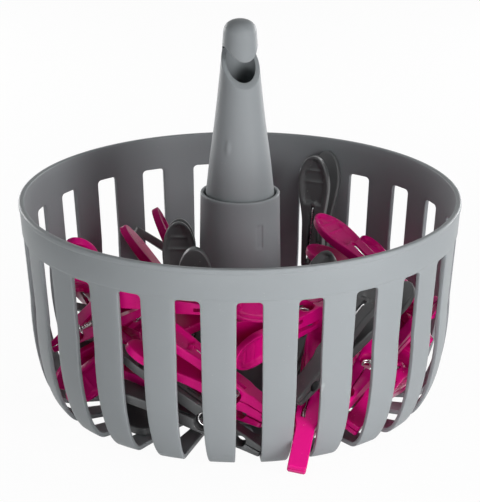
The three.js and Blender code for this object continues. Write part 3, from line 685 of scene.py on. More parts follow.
def make_handle():
    points, faces, sides, edges = [], [], [], []
    step = 360.0 / HANDLE_COLUMNS
    end = int(mouth_end(handle_radius(MOUTH_LEVEL)) / step)
    mouth = [*range(HANDLE_COLUMNS - end, HANDLE_COLUMNS), *range(end + 1)]
    key_sides = nearest_columns(keyway_sides(HANDLE_RADII[0]))
    keyways = list(zip(key_sides[::2], key_sides[1::2]))
    key_columns = {column for keyway in keyways for column in range(*keyway)}
    top = len(FOOT_ROWS) - 1
    open_columns = dict.fromkeys(range(top), key_columns) | {LIP_RING: set(mouth[:-1])}
    for wall in (0.0, HANDLE_WALL):
        rings, crown = handle_rings(points, wall, end * step)
        for number in range(len(rings) - 1):
            add_band(faces, rings[number], rings[number + 1], open_columns.get(number, ()))
        add_cap(points, faces, rings[-1], crown)
        sides.append(rings)
    outside, inside = sides
    add_band(faces, outside[0], inside[0], key_columns)
    for keyway in keyways:
        add_hole(faces, outside, inside, (0, top), keyway, notch=True)
    for row in (LIP_RING, LIP_RING + 1):
        edges += add_wall(faces, [outside[row][c] for c in mouth], [inside[row][c] for c in mouth])
    return make_mesh("handle", points, faces, edges, MOUTH_EDGE_ROUND)


# Peg lever

FACE_SLOPE = (GRIP_SPREAD / 2 + GRIP_THICKNESS - PIVOT_THICKNESS) / GRIP_LENGTH
COIL_HALF = COIL_PITCH * COIL_TURNS / 2
ARM_TOP = Vector((0, PIVOT_THICKNESS + FACE_SLOPE * ARM_RISE - ARM_DEPTH, ARM_RISE))
ARM_FOOT = Vector((COIL_HALF, COIL_RADIUS, 0))


def lever_half(z):
    """Half of the lever's width at a height."""
    if z > HEAD_MIDDLE:
        return HEAD_HALF * math.sqrt(max(0.0, 1 - ((z - HEAD_MIDDLE) / HEAD_REACH) ** 2))
    if z > NECK_HEIGHT:
        share = float(smoothstep(NECK_HEIGHT, HEAD_MIDDLE, z))
        return BODY_HALF + (HEAD_HALF - BODY_HALF) * share
    if z > -SEAT_RADIUS:
        return BODY_HALF
    half = JAW_HALF + (BODY_HALF - JAW_HALF) * float(smoothstep(-2 * SEAT_RADIUS, -SEAT_RADIUS, z))
    left = z + JAW_LENGTH
    if left < JAW_CORNER:
        half -= JAW_CORNER - math.sqrt(JAW_CORNER**2 - (JAW_CORNER - left) ** 2)
    return half


def channel_middle(z):
    return COIL_HALF * float(np.clip(1 - z / ARM_RISE, 0.0, 1.0))


def lever_columns(z):
    """Places across the lever: rims, window, channel and the plain parts between."""
    half = lever_half(z)
    fit = min(1.0, half / BODY_HALF)
    channel = [channel_middle(z) + aside for aside in CHANNEL_COLUMNS]
    middle = [x * fit for x in (*WINDOW_SIDES, *channel, BODY_COLUMN)]
    left = [middle[0] - (half + middle[0]) * share for share in RIM_SHARES][::-1]
    right = [middle[-1] + (half - middle[-1]) * share for share in RIM_SHARES]
    return np.array(left + middle + right)


def oval_distance(x, z, half, reach, least_share=0.0, least_slope=1e-6):
    """How far inside an oval round the head's middle points lie."""
    rise = z - HEAD_MIDDLE
    share = np.sqrt((x / half) ** 2 + (rise / reach) ** 2)
    slope = np.sqrt((x / half**2) ** 2 + (rise / reach**2) ** 2)
    return (1 - share) * np.maximum(share, least_share) / np.maximum(slope, least_slope)


def rim_fall(x, z):
    """Fall of the rounded edge along the lever's outline."""
    if z <= HEAD_MIDDLE:
        distance = np.minimum(lever_half(z) - np.abs(x), z + JAW_LENGTH)
    else:
        distance = oval_distance(x, z, HEAD_HALF, HEAD_REACH)
    away = 1 - np.clip(distance / EDGE_ROUND, 0.0, 1.0)
    return EDGE_ROUND * (1 - np.sqrt(1 - away**2))


def dish_fall(x, z):
    """Depth of the thumb dish, with its cross ridges and the land round the wire's end."""
    inside = oval_distance(x, z, DISH_HALF, DISH_REACH, least_share=0.05, least_slope=1e-3)
    depth = DISH_DEPTH * smoothstep(0.0, DISH_STEP, inside)
    for height in RIDGE_HEIGHTS:
        ridge = RIDGE_PROUD * max(0.0, 1 - abs(z - height) / RIDGE_HALF)
        depth = depth - ridge * smoothstep(DISH_STEP, 2 * DISH_STEP, inside)
    beside = np.hypot(x, max(0.0, z - (ARM_RISE + WIRE)))
    return depth * smoothstep(LAND_HALF + LAND_EASE[0], LAND_HALF + LAND_EASE[1], beside)


def lever_outside(x, z):
    """Height of the outer face over the peg's middle plane."""
    jaw = JAW_GAP / 2 + JAW_THICKNESS
    face = PIVOT_THICKNESS + FACE_SLOPE * z
    if z < 0:
        face = jaw + (PIVOT_THICKNESS - jaw) * (1 + z / JAW_LENGTH)
    y = face - rim_fall(x, z) - dish_fall(x, z)
    arm = ARM_FOOT.y + (ARM_TOP.y - ARM_FOOT.y) * z / ARM_RISE
    floor = np.maximum(arm - WIRE / 2 - CHANNEL_ROOM, lever_inside_level(z) + CHANNEL_FLOOR)
    ends = smoothstep(*CHANNEL_FOOT, z)
    ends *= 1 - smoothstep(ARM_RISE + CHANNEL_END[0], ARM_RISE + CHANNEL_END[1], z)
    groove = (1 - smoothstep(*CHANNEL_EASE, np.abs(x - channel_middle(z)))) * ends
    return y - groove * np.maximum(0.0, y - floor)


def lever_inside_level(z):
    """Height of the inner face before its edges are rounded."""
    half = JAW_GAP / 2
    if z > SEAT_RADIUS - SEAT_EDGE:
        foot = half + SEAT_LIP
        return foot + (GRIP_SPREAD / 2 - foot) * (z - SEAT_RADIUS) / (GRIP_LENGTH - SEAT_RADIUS)
    if z > -SEAT_RADIUS:
        return half + math.sqrt(SEAT_RADIUS**2 - z**2)
    notch = NOTCH_RADIUS**2 - (z + NOTCH_DROP) ** 2
    return half + math.sqrt(max(0.0, notch)) * NOTCH_DEPTH


def lever_inside(x, z):
    share = 1.0 if z > SEAT_RADIUS else JAW_EDGE_SHARE
    return lever_inside_level(z) + share * rim_fall(x, z)


def lever_rows():
    """Heights of the lever's rows from the head's end to the jaw's tip."""
    head = [GRIP_LENGTH - drop for drop in (0.02, 0.14, 0.4, 0.75, 1.1, 1.5, 1.9, 2.4, 3.2, 4.4, 5.8)]
    ridges = [[height + RIDGE_HALF, height, height - RIDGE_HALF] for height in RIDGE_HEIGHTS]
    dish = [36.6, 34.2, 31.8, 29.8, 28.7, 28.2, 27.6, 26.9, 26.5, 26.0, 25.3, 24.6, 23.9, 23.3]
    body = [21.0, 18.6, 16.4, WINDOW_ENDS[0], 11.5, 9.0, WINDOW_ENDS[1], 5.4]
    seat = [4.3, 3.9, 3.3, 2.2, 1.1, 0.0, -1.1, -2.2, -3.3, -3.75, -4.1, -4.3]
    jaw = [-5.4, -7.0, -8.6, -12.0, -15.4]
    turns = (1.0, 0.93, 0.7, 0.35, 0.0, -0.35, -0.7, -0.93, -1.0)
    notch = [-NOTCH_DROP + NOTCH_RADIUS * share for share in turns]
    tip = [-23.0, -26.0, -28.0, -28.8, -29.3, -29.7, -29.92]
    return head + ridges[0] + [42.6, 40.6] + ridges[1] + dish + body + seat + jaw + notch + tip


def make_lever(name):
    points, faces, outer, inner = [], [], [], []
    rows = lever_rows()
    for z in rows:
        x = lever_columns(z)
        for store, y in ((outer, lever_outside(x, z)), (inner, lever_inside(x, z))):
            first = len(points)
            points.extend(zip(x, y, np.full_like(x, z)))
            store.append(list(range(first, len(points))))
    last_row, last_column = len(rows) - 1, len(outer[0]) - 1
    holes = [(tuple(rows.index(z) for z in ends), columns)
             for ends, columns in ((WINDOW_ENDS, WINDOW_COLUMNS), (SEAT_ENDS, SEAT_COLUMNS))]
    cut = {(row, column) for ends, sides in holes for row in range(*ends) for column in range(*sides)}
    for side in (outer, inner):
        for number, (row, below) in enumerate(zip(side, side[1:])):
            for column in range(last_column):
                if (number, column) not in cut:
                    after = column + 1
                    faces.append((row[column], row[after], below[after], below[column]))
    for ends, sides in holes + [((0, last_row), (0, last_column))]:
        add_hole(faces, outer, inner, ends, sides)
    mesh = make_mesh(name, points, faces)
    mesh.set_sharp_from_angle(angle=CREASE_ANGLE)
    return mesh


def make_lever_pair(name):
    """Both levers of a shut peg in one mesh."""
    sheet = bmesh.new()
    sheet.from_mesh(make_lever(name + "_half"))
    both = bmesh.ops.duplicate(sheet, geom=sheet.verts[:] + sheet.edges[:] + sheet.faces[:])
    second = [item for item in both["geom"] if isinstance(item, bmesh.types.BMVert)]
    bmesh.ops.rotate(sheet, cent=(0, 0, 0), matrix=Matrix.Rotation(math.pi, 3, "Z"), verts=second)
    return mesh_from(name, sheet)


# Peg spring

def spring_path():
    """The wire's middle line: down one lever, round the coil and up the other."""
    coil = []
    for number in range(int(COIL_TURNS * COIL_STEPS) + 1):
        turn = -2 * math.pi * number / COIL_STEPS
        x = COIL_HALF - COIL_PITCH * number / COIL_STEPS
        coil.append(Vector((x, COIL_RADIUS * math.cos(turn), COIL_RADIUS * math.sin(turn))))
    arm = []
    for share in ARM_SHARES:
        dip = ARM_HOOK * float(smoothstep(ARM_HOOK_START, 1.0, share))
        arm.append(ARM_FOOT.lerp(ARM_TOP, share) - Vector((0, dip, 0)))
    other = [Vector((-point.x, -point.y, point.z)) for point in reversed(arm)]
    return arm + coil + other


def make_wire(name, place):
    """A peg's spring as a round wire with domed ends, placed by the peg's matrix."""
    points, faces, rings = [], [], []
    path = spring_path()
    last = len(path) - 1
    tangents = []
    for number in range(len(path)):
        before, after = path[max(0, number - 1)], path[min(last, number + 1)]
        tangents.append((after - before).normalized())
    normal = Vector((1, 0, 0)).cross(tangents[0]).normalized()
    stations = [(0, -along, share) for along, share in WIRE_DOME]
    stations += [(number, 0.0, 1.0) for number in range(len(path))]
    stations += [(last, along, share) for along, share in reversed(WIRE_DOME)]
    for number, along, share in stations:
        tangent = tangents[number]
        normal = (normal - tangent * normal.dot(tangent)).normalized()
        side = tangent.cross(normal)
        middle = path[number] + tangent * along * WIRE
        first = len(points)
        for corner in range(WIRE_SIDES):
            turn = 2 * math.pi * corner / WIRE_SIDES
            around = normal * math.cos(turn) + side * math.sin(turn)
            points.append(tuple(middle + around * (WIRE / 2 * share)))
        rings.append(list(range(first, len(points))))
    for ring, following in zip(rings, rings[1:]):
        add_band(faces, ring, following)
    faces += [tuple(rings[0]), tuple(rings[-1])]
    mesh = make_mesh(name, points, faces)
    mesh.transform(place)
    return mesh


# Materials

def feed(tree, node, values):
    """Sets or links a node's inputs, by name or number."""
    for socket, value in values:
        if isinstance(value, bpy.types.NodeSocket):
            tree.links.new(value, node.inputs[socket])
        else:
            node.inputs[socket].default_value = value


def add_node(tree, kind, values=(), **settings):
    node = tree.nodes.new(kind)
    for label, value in settings.items():
        setattr(node, label, value)
    feed(tree, node, values)
    return node


def maths(tree, operation, *values):
    return add_node(tree, "ShaderNodeMath", enumerate(values), operation=operation).outputs[0]


def noise(tree, place, scale, detail, roughness=0.5):
    values = [("Vector", place), ("Scale", scale), ("Detail", detail), ("Roughness", roughness)]
    return add_node(tree, "ShaderNodeTexNoise", values).outputs["Fac"]


def remap(tree, value, low, high, to_low=0.0, to_high=1.0):
    values = [("Value", value), ("From Min", low), ("From Max", high)]
    values += [("To Min", to_low), ("To Max", to_high)]
    return add_node(tree, "ShaderNodeMapRange", values).outputs[0]


def mix_colour(tree, share, below, above):
    values = [(0, share), (6, below), (7, above)]
    return add_node(tree, "ShaderNodeMix", values, data_type="RGBA").outputs[2]


def own_place(tree):
    return add_node(tree, "ShaderNodeTexCoord").outputs["Object"]


def new_group(name, inputs, outputs, colours=()):
    """A shader node group with its sockets, its inputs and the node at its end."""
    group = bpy.data.node_groups.new(name, "ShaderNodeTree")
    for way, labels in (("INPUT", inputs), ("OUTPUT", outputs)):
        for label in labels:
            kind = "NodeSocketColor" if label in colours else "NodeSocketFloat"
            socket = group.interface.new_socket(label, in_out=way, socket_type=kind)
            if way == "INPUT":
                socket.default_value = inputs[label]
    return group, add_node(group, "NodeGroupInput").outputs, add_node(group, "NodeGroupOutput")


def moulding_group():
    """Moulded plastic: cloudy tone, fine grain and shine that varies over the surface."""
    group, given, end = new_group(
        "moulded_plastic",
        {"Color": (0.5, 0.5, 0.5, 1), "Cloud Scale": 30.0, "Cloud": 0.06, "Grain Scale": 1800.0,
         "Roughness": 0.4},
        ("Color", "Roughness", "Height"),
        colours=("Color",),
    )
    place = own_place(group)
    grain = noise(group, place, given["Grain Scale"], detail=2.0)
    cloud = noise(group, place, given["Cloud Scale"], detail=4.0, roughness=0.55)
    cloud = maths(group, "SUBTRACT", cloud, 0.5)
    sway = maths(group, "MULTIPLY", cloud, given["Cloud"])
    lift = maths(group, "ADD", maths(group, "MULTIPLY", sway, 2.0), 1.0)
    tone = add_node(group, "ShaderNodeHueSaturation", [("Color", given["Color"]), ("Value", lift)])
    shine = given["Roughness"]
    for change, share in ((maths(group, "SUBTRACT", grain, 0.5), GRAIN_SHINE), (cloud, CLOUD_SHINE)):
        shine = maths(group, "ADD", maths(group, "MULTIPLY", change, share), shine)
    feed(group, end, [("Color", tone.outputs["Color"]), ("Roughness", shine), ("Height", grain)])
    return group


def edge_group():
    """Edges: a mask where the surface turns sharply outwards, broken up as by handling; it lays both
    edge wear and a painted edge highlight.
    """
    group, given, end = new_group(
        "handled_edges", {"Low": 0.53, "High": 0.62, "Break Scale": 220.0}, ("Mask",))
    bend = add_node(group, "ShaderNodeNewGeometry").outputs["Pointiness"]
    sharp = remap(group, bend, given["Low"], given["High"])
    broken = noise(group, own_place(group), given["Break Scale"], detail=3.0)
    share = remap(group, broken, *EDGE_BREAKS)
    feed(group, end, [("Mask", maths(group, "MULTIPLY", sharp, share))])
    return group


def dust_group():
    """Dust: small pale specks, thicker on what faces up."""
    group, given, end = new_group("dust_specks", {"Scale": 700.0, "Amount": 0.5}, ("Mask",))
    place = own_place(group)
    cells = add_node(group, "ShaderNodeTexVoronoi", [
        ("Vector", place), ("Scale", given["Scale"]), ("Randomness", 1.0)])
    normal = add_node(group, "ShaderNodeNewGeometry").outputs["Normal"]
    facing = add_node(group, "ShaderNodeSeparateXYZ", [(0, normal)]).outputs["Z"]
    patches = noise(group, place, DUST_PATCH_SCALE, detail=2.0)
    mask = given["Amount"]
    for part in (
        remap(group, cells.outputs["Distance"], *DUST_SPECKS, to_low=1.0, to_high=0.0),
        remap(group, patches, *DUST_PATCHES),
        remap(group, facing, *DUST_FACING, to_low=DUST_UNDERNEATH),
    ):
        mask = maths(group, "MULTIPLY", part, mask)
    feed(group, end, [("Mask", mask)])
    return group


def new_material(name):
    material = bpy.data.materials.new(name)
    material.use_nodes = True
    return material, material.node_tree, material.node_tree.nodes["Principled BSDF"]


def plastic(name, groups, colour, worn, wear_and_highlight, dust, roughness, shine, cloud, cloud_scale, bump):
    """A moulded plastic with dust, and with sharp edges lightened partly as handling wear and partly as
    a painted highlight.
    """
    material, tree, shader = new_material(name)
    tint = [("Color", (*colour, 1)), ("Cloud", cloud), ("Cloud Scale", cloud_scale)]
    settings = (tint + [("Roughness", roughness)], [], [("Amount", dust)])
    base, edges, specks = (
        add_node(tree, "ShaderNodeGroup", values, node_tree=group).outputs
        for group, values in zip(groups, settings))
    # Sharp edges take a lighter colour: partly wear, partly a painted highlight along them.
    rubbed_and_highlit = maths(tree, "MULTIPLY", edges["Mask"], wear_and_highlight)
    tone = mix_colour(tree, rubbed_and_highlit, base["Color"], (*worn, 1))
    raised = add_node(tree, "ShaderNodeBump", [
        ("Height", base["Height"]), ("Strength", bump), ("Distance", GRAIN_HEIGHT)])
    feed(tree, shader, [
        ("Base Color", mix_colour(tree, specks["Mask"], tone, DUST_COLOUR)),
        ("Roughness", base["Roughness"]),
        ("Normal", raised.outputs["Normal"]),
        ("Specular IOR Level", shine),
    ])
    return material


def steel_wire():
    """Bright drawn wire with duller patches."""
    material, tree, shader = new_material("spring_wire")
    patch = noise(tree, own_place(tree), WIRE_PATCH_SCALE, detail=3.0)
    feed(tree, shader, [
        ("Base Color", mix_colour(tree, patch, WIRE_DULL, WIRE_BRIGHT)),
        ("Roughness", remap(tree, patch, *WIRE_PATCHES, *WIRE_ROUGHNESS)),
        ("Metallic", 1.0),
    ])
    return material


def seen_ray(tree):
    """One for what the camera sees, straight or mirrored, and nought for light on the object."""
    path = add_node(tree, "ShaderNodeLightPath").outputs
    return maths(tree, "MAXIMUM", path["Is Camera Ray"], path["Is Glossy Ray"])


def stage_white():
    """Floor that the camera sees as white, and that still takes the object's shadow."""
    material, tree, shader = new_material("stage_white")
    feed(tree, shader, [("Base Color", FLOOR_COLOUR), ("Roughness", FLOOR_ROUGHNESS)])
    glow = add_node(tree, "ShaderNodeEmission", [("Color", WHITE), ("Strength", 1.0)])
    share = maths(tree, "MULTIPLY", seen_ray(tree), FLOOR_GLOW)
    mixed = add_node(tree, "ShaderNodeMixShader", enumerate((share, shader.outputs[0], glow.outputs[0])))
    feed(tree, tree.nodes["Material Output"], [("Surface", mixed.outputs[0])])
    return material


# Pegs

def mesh_middle(node):
    """The middle of a CAD node's surface, weighted by area."""
    total, weighted = 0.0, Vector()
    for face in node.data.polygons:
        total += face.area
        weighted += face.center * face.area
    return weighted / total


def peg_place(joint, lever, opposite):
    """A peg's own frame: origin on the pivot, X along it, Z up the grips."""
    pivot = Vector(joint["pos_m"])
    across = -Vector(joint["axis"]).normalized()
    up = (mesh_middle(lever) + mesh_middle(opposite)) / 2 - pivot
    up = (up - across * up.dot(across)).normalized()
    turn = Matrix((across, up.cross(across), up)).transposed().to_4x4()
    return Matrix.Translation(pivot) @ turn


def frame_pegs():
    """The frame's own pegs: each one's joint, its nodes' names and its place."""
    for joint in frame["joints"]:
        if joint["type"] == "hinge":
            label = joint["name"].removesuffix("_squeeze")
            nodes = [label + end for end in ("_lever", "_sprung_lever", "_spring")]
            yield joint, nodes, peg_place(joint, *(frame["nodes"][node] for node in nodes[:2]))


def placed_copy(mesh, place):
    """A copy of a mesh with its place in its points."""
    copy = mesh.copy()
    copy.transform(place)
    return copy


def in_each_finish(make, finishes, end):
    meshes = {}
    for slot, finish in finishes.items():
        meshes[slot] = make(slot + end)
        meshes[slot].materials.append(finish)
    return meshes


def make_pegs(finishes, wire):
    half_turn = Matrix.Rotation(math.pi, 4, "Z")
    slots = {part["node"]: part["material_slot"] for part in frame["record"]["subparts"]}
    levers = in_each_finish(make_lever, finishes, "_lever")
    for joint, (fixed, sprung, spring), place in frame_pegs():
        riders = ((fixed, joint["parent"], place), (sprung, joint["child"], place @ half_turn))
        for node, body, spot in riders:
            shape = placed_copy(levers[slots[node]], spot)
            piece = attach(add_object(node + "_moulding", shape), body)
            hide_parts(node)
        coil = add_object(spring + "_wire", make_wire(spring + "_wire", place), wire)
        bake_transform(coil)
        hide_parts(spring)


# Loose pegs

def peg_fill():
    """Points spread through one lever of a peg, in the peg's frame."""
    points = []
    for z in np.arange(FILL_START - JAW_LENGTH, GRIP_LENGTH, FILL_STEP):
        half = lever_half(z)
        x = np.linspace(-half, half, max(2, math.ceil(2 * half / FILL_STEP)))
        inner, outer = lever_inside(x, z), lever_outside(x, z)
        for share in np.linspace(0.0, 1.0, FILL_LAYERS):
            points.append(np.stack([x, inner + (outer - inner) * share, np.full_like(x, z)], axis=1))
    return np.concatenate(points)


def turned_points(points, matrix):
    return points @ np.array(matrix.to_3x3()).T + np.array(matrix.translation) / MM


class TubRoom:
    """The room in the tub, as small cells that are taken or free."""

    def __init__(self):
        side = int(2 * RIM_RADIUS / FILL_STEP) + 1
        deep = int(TUB_HEIGHT / FILL_STEP) + 1
        level = (np.arange(side) + 0.5) * FILL_STEP - RIM_RADIUS
        heights = (np.arange(deep) + 0.5) * FILL_STEP
        across, ahead = np.meshgrid(level, level, indexing="ij")
        away = np.hypot(across, ahead)[..., None]
        sight = sight_line(np.stack([across, ahead], axis=-1))[..., None]
        self.taken = away > inside_radius(heights) - LOOSE_GAP
        self.taken |= away < column_radius(heights) + LOOSE_GAP
        self.taken |= heights < BASE_THICKNESS + LOOSE_GAP
        self.taken |= heights > np.minimum(LOOSE_CEILING, sight)

    def cells(self, points):
        places = ((points + (RIM_RADIUS, RIM_RADIUS, 0.0)) / FILL_STEP).astype(int)
        places = np.clip(places, 0, np.array(self.taken.shape) - 1)
        return places[..., 0], places[..., 1], places[..., 2]

    def take(self, points, and_above=False):
        cells = np.zeros_like(self.taken)
        cells[self.cells(points)] = True
        self.taken |= np.logical_or.accumulate(cells, axis=2) if and_above else cells

    def blocked(self, points):
        """How many of a peg's points, or of many pegs' at once, lie in taken cells."""
        return self.taken[self.cells(points)].sum(axis=-1)


def toward(azimuth):
    """The level way out to a viewer at an angle."""
    turn = math.radians(azimuth)
    return np.array((math.sin(turn), -math.cos(turn)))


def sight_line(points):
    """How high a point may lie without showing over the near side of the rim."""
    return TUB_HEIGHT - SIGHT_SLOPE * (RIM_RADIUS - points[..., :2] @ toward(VIEW_AZIMUTH))


def inside_radius(height):
    """Radius of the tub's inside."""
    fall = np.clip((WAIST_HEIGHT - height) / (WAIST_HEIGHT - BASE_THICKNESS), 0.0, 1.0)
    corner = FOOT_RADIUS + (WAIST_RADIUS - FOOT_RADIUS - TUB_WALL) * np.sqrt(1.0 - fall**2)
    return np.where(height > WAIST_HEIGHT, wall_radius(height) - TUB_WALL, corner)


def room_left(lever, opposite, worth):
    """The tub's room less what the frame's pegs take, shut, opening and on their way out."""
    room = TubRoom()
    for joint, _, place in frame_pegs():
        shut = turned_points(np.concatenate([lever, opposite]), place)
        room.take(shut, and_above=joint["parent"] != "basket")
        worth[slot_cells(shut)] = 0.0
        for degrees in OPENINGS:
            opening = Matrix.Rotation(math.radians(-degrees), 4, "X")
            room.take(turned_points(opposite, place @ opening))
    return room


def random_turns(dice, count):
    """Turns of a peg every way, as matrices."""
    w, x, y, z = np.moveaxis(dice.normal(size=(count, 4)), -1, 0)
    size = np.sqrt(w * w + x * x + y * y + z * z)
    w, x, y, z = w / size, x / size, y / size, z / size
    rows = [
        (1 - 2 * (y * y + z * z), 2 * (x * y - w * z), 2 * (x * z + w * y)),
        (2 * (x * y + w * z), 1 - 2 * (x * x + z * z), 2 * (y * z - w * x)),
        (2 * (x * z - w * y), 2 * (y * z + w * x), 1 - 2 * (x * x + y * y)),
    ]
    return np.moveaxis(np.array(rows), -1, 0)


def small_turns(dice, count, size):
    """Small turns about chance axes, as matrices."""
    x, y, z = np.moveaxis(dice.normal(scale=size, size=(count, 3)), -1, 0)
    one = np.ones_like(x)
    skew = np.moveaxis(np.array([(one, -z, y), (z, one, -x), (-y, x, one)]), -1, 0)
    turns, rest = np.linalg.qr(skew)
    return turns * np.sign(np.einsum("nii->ni", rest))[:, None, :]


def slot_cells(points):
    """Cells of the slots' openings that points fill, seen from each side and a little above."""
    pitch = 360.0 / SLOT_COUNT
    flat = points[:, :2]
    found = []
    for side, (turn, _) in enumerate(SIGHT_SIDES):
        way = toward(VIEW_AZIMUTH + turn)
        along = flat @ way
        beside = (flat**2).sum(axis=1) - along**2
        radius = WAIST_RADIUS
        for _ in range(SIGHT_PASSES):
            reach = np.sqrt(np.maximum(radius**2 - beside, 0.0)) - along
            level = points[:, 2] + reach * SIGHT_SLOPE
            radius = inside_radius(level) + TUB_WALL
        out = flat + reach[:, None] * way
        angle = np.degrees(np.arctan2(out[:, 0], -out[:, 1]))
        number = np.round(angle / pitch).astype(int)
        off = np.radians(angle - number * pitch) * radius
        seen = (np.abs(off) < SLOT_HALF) & (level < SLOT_TOP) & (reach < SIGHT_DEPTH)
        column = ((off[seen] + SLOT_HALF) / SIGHT_CELL).astype(int)
        row = (level[seen] / SIGHT_CELL).astype(int)
        slot = side * SLOT_COUNT + number[seen] % SLOT_COUNT
        found.append((slot * SIGHT_COLUMNS + column) * SIGHT_ROWS + row)
    return np.unique(np.concatenate(found))


def slot_worth():
    """What each cell of the slots' openings counts for: most where it faces the viewer."""
    turns = np.arange(SLOT_COUNT) * 360.0 / SLOT_COUNT - VIEW_AZIMUTH
    facing = []
    for turn, weight in SIGHT_SIDES:
        facing.append(weight * np.maximum(np.cos(np.radians(turns - turn)), 0.0))
    return np.repeat(np.concatenate(facing), SIGHT_COLUMNS * SIGHT_ROWS)


def blocked_pegs(room, form, turns, middles):
    return room.blocked(np.einsum("nij,pj->npi", turns, form) + middles[:, None, :])


def free_places(dice, form, room):
    """Places with room for a loose peg, found by shaking many from chance places: turn and middle."""
    around = dice.uniform(0.0, 2 * math.pi, LOOSE_STARTS)
    out = dice.uniform(*LOOSE_REACH, LOOSE_STARTS)
    height = dice.uniform(BASE_THICKNESS, LOOSE_CEILING, LOOSE_STARTS)
    turns = random_turns(dice, LOOSE_STARTS)
    middles = np.stack([out * np.sin(around), -out * np.cos(around), height], axis=1)
    blocked = blocked_pegs(room, form[::FEW_POINTS], turns, middles)
    least = np.argsort(blocked, kind="stable")[:LOOSE_KEPT]
    turns, middles = turns[least], middles[least]
    some = form[::SOME_POINTS]
    blocked = blocked_pegs(room, some, turns, middles)
    for share in np.linspace(0.0, 1.0, SHAKES):
        move, turn = (first + (last - first) * share for first, last in (SHAKE_MOVES, SHAKE_TURNS))
        busy = np.flatnonzero(blocked)
        order = np.argsort(blocked[busy], kind="stable")
        busy = busy[order[:int(LOOSE_KEPT * (1.0 - share) ** 2)]]
        tried_turns = small_turns(dice, len(busy), turn) @ turns[busy]
        tried_middles = middles[busy] + dice.normal(scale=move, size=(len(busy), 3))
        tried = blocked_pegs(room, some, tried_turns, tried_middles)
        better = tried < blocked[busy]
        chosen = busy[better]
        turns[chosen] = tried_turns[better]
        middles[chosen] = tried_middles[better]
        blocked[chosen] = tried[better]
    places = [(turns[i], middles[i]) for i in np.flatnonzero(blocked == 0)]
    return [(turn, middle) for turn, middle in places if not room.blocked(form @ turn.T + middle)]


def lay_down(form, room, worth, places):
    """Gives each peg in turn the place that fills most of what is still open, and lets it sink."""
    views = [slot_cells(form[::SIGHT_SKIP] @ turn.T + middle) for turn, middle in places]
    gains = np.array([worth[view].sum() for view in views])
    fall = np.array((0.0, 0.0, -FILL_STEP / 2))
    laid = []
    while len(laid) < LOOSE_PER_ROUND and gains.max(initial=0.0) > LEAST_GAIN:
        best = int(np.argmax(gains))
        turn, middle = places[best]
        known, gains[best] = gains[best], worth[views[best]].sum()
        if gains[best] < known:
            continue
        gains[best] = 0.0
        points = form @ turn.T + middle
        if room.blocked(points):
            continue
        while not room.blocked(points + fall):
            points, middle = points + fall, middle + fall
        room.take(points)
        worth[slot_cells(points)] = 0.0
        place = Matrix(turn.tolist()).to_4x4()
        place.translation = Vector(middle) * MM
        laid.append(place)
    return laid


def loose_finish(number, middle):
    """Pink pegs above grey ones at the front left, and both by turns elsewhere."""
    around = math.degrees(math.atan2(middle.x, -middle.y))
    if PINK_STRETCH[0] < around < PINK_STRETCH[1]:
        return "peg_pink" if middle.z > PINK_FLOOR * MM else "peg_grey"
    return ("peg_grey", "peg_pink")[number % 2]


def make_loose_pegs(finishes, wire):
    lever = peg_fill()
    opposite = lever * (-1.0, -1.0, 1.0)
    middle = Vector((0, 0, (GRIP_LENGTH - JAW_LENGTH) / 2))
    form = np.concatenate([lever, opposite]) - middle
    worth = slot_worth()
    room = room_left(lever, opposite, worth)
    dice = np.random.default_rng(LOOSE_SEED)
    places = []
    for _ in range(LOOSE_ROUNDS):
        places += lay_down(form, room, worth, free_places(dice, form, room))
    pairs = in_each_finish(make_lever_pair, finishes, "_pair")
    spring = make_wire("loose_spring", Matrix.Identity(4))
    spring.materials.append(wire)
    for number, place in enumerate(places, start=1):
        slot = loose_finish(number, place.translation)
        parts = (("levers", pairs[slot], slot), ("spring", spring, "spring_wire"))
        for kind, mesh, finish_slot in parts:
            shape = placed_copy(mesh, place @ Matrix.Translation(-middle * MM))
            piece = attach(add_object(f"loose_peg_{number:02d}_{kind}", shape), "basket")


# Stage, lights and camera

def aim(piece, azimuth, elevation, distance, target):
    """Puts a lamp or the camera round a target, by its angle from the camera's own."""
    turn = math.radians(VIEW_AZIMUTH + azimuth)
    rise = math.radians(elevation)
    level = math.cos(rise)
    way = Vector((math.sin(turn) * level, -math.cos(turn) * level, math.sin(rise)))
    piece.location = target + way * distance
    piece.rotation_euler = (target - piece.location).to_track_quat("-Z", "Y").to_euler()


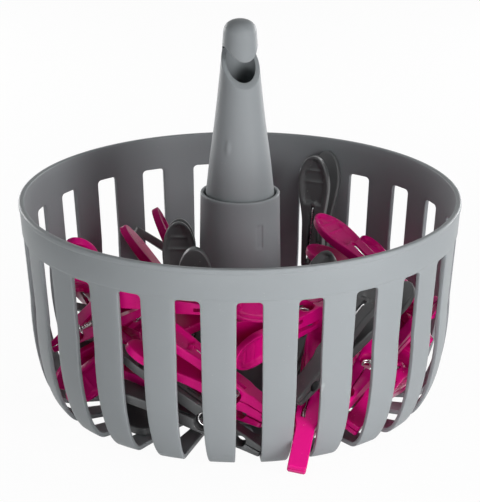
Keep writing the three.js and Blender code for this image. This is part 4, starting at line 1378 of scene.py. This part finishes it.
def add_softbox(name, azimuth, elevation, distance, size, height, power):
    lamp = bpy.data.lights.new(name, "AREA")
    lamp.shape = "RECTANGLE"
    lamp.size, lamp.size_y = size
    lamp.energy = power
    box = add_object(name, lamp)
    aim(box, azimuth, elevation, distance, Vector((0, 0, height)) * MM)
    box.visible_camera = False


def add_stage():
    mesh = bpy.data.meshes.new("floor")
    corners = [(x * FLOOR_REACH, y * FLOOR_REACH, 0) for x, y in ((-1, -1), (1, -1), (1, 1), (-1, 1))]
    mesh.from_pydata(corners, [], [(0, 1, 2, 3)])
    floor = add_object("floor", mesh, stage_white())
    floor.location.z = -FLOOR_DROP
    floor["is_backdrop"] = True
    world = bpy.data.worlds.new("studio")
    bpy.context.scene.world = world
    world.use_nodes = True
    tree = world.node_tree
    level = remap(tree, seen_ray(tree), 0.0, 1.0, to_low=ROOM_LIGHT)
    feed(tree, tree.nodes["Background"], [("Color", WHITE), ("Strength", level)])
    for softbox in SOFTBOXES:
        add_softbox(*softbox)


def add_camera():
    lens = bpy.data.cameras.new("photo_view")
    lens.lens = VIEW_LENS
    lens.sensor_width = VIEW_SENSOR
    lens.shift_y = VIEW_SHIFT
    lens.clip_end = VIEW_END
    camera = add_object("photo_view", lens)
    aim(camera, 0, VIEW_ELEVATION, VIEW_DISTANCE, VIEW_TARGET)
    bpy.context.scene.camera = camera


def write_sizes():
    for label, box in (("cad", cad_box), ("visual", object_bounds())):
        [[round(value, 6) for value in corner] for corner in box]


def main():
    add_camera()
    add_stage()
    groups = moulding_group(), edge_group(), dust_group()
    shell = plastic("shell_grey", groups, **SHELL_GREY)
    pink = plastic("peg_pink", groups, **PEG_PINK)
    grey = plastic("peg_grey", groups, **PEG_GREY)
    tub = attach(add_object("basket_tub_moulding", make_tub(), shell), "basket")
    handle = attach(add_object("hook_handle_moulding", make_handle(), shell), "handle")
    for piece, node in ((tub, "basket_tub"), (handle, "hook_handle")):
        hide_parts(node)
    finishes, wire = {"peg_pink": pink, "peg_grey": grey}, steel_wire()
    make_pegs(finishes, wire)
    make_loose_pegs(finishes, wire)
    bpy.context.scene.view_settings.view_transform = "Standard"


main()
write_sizes()
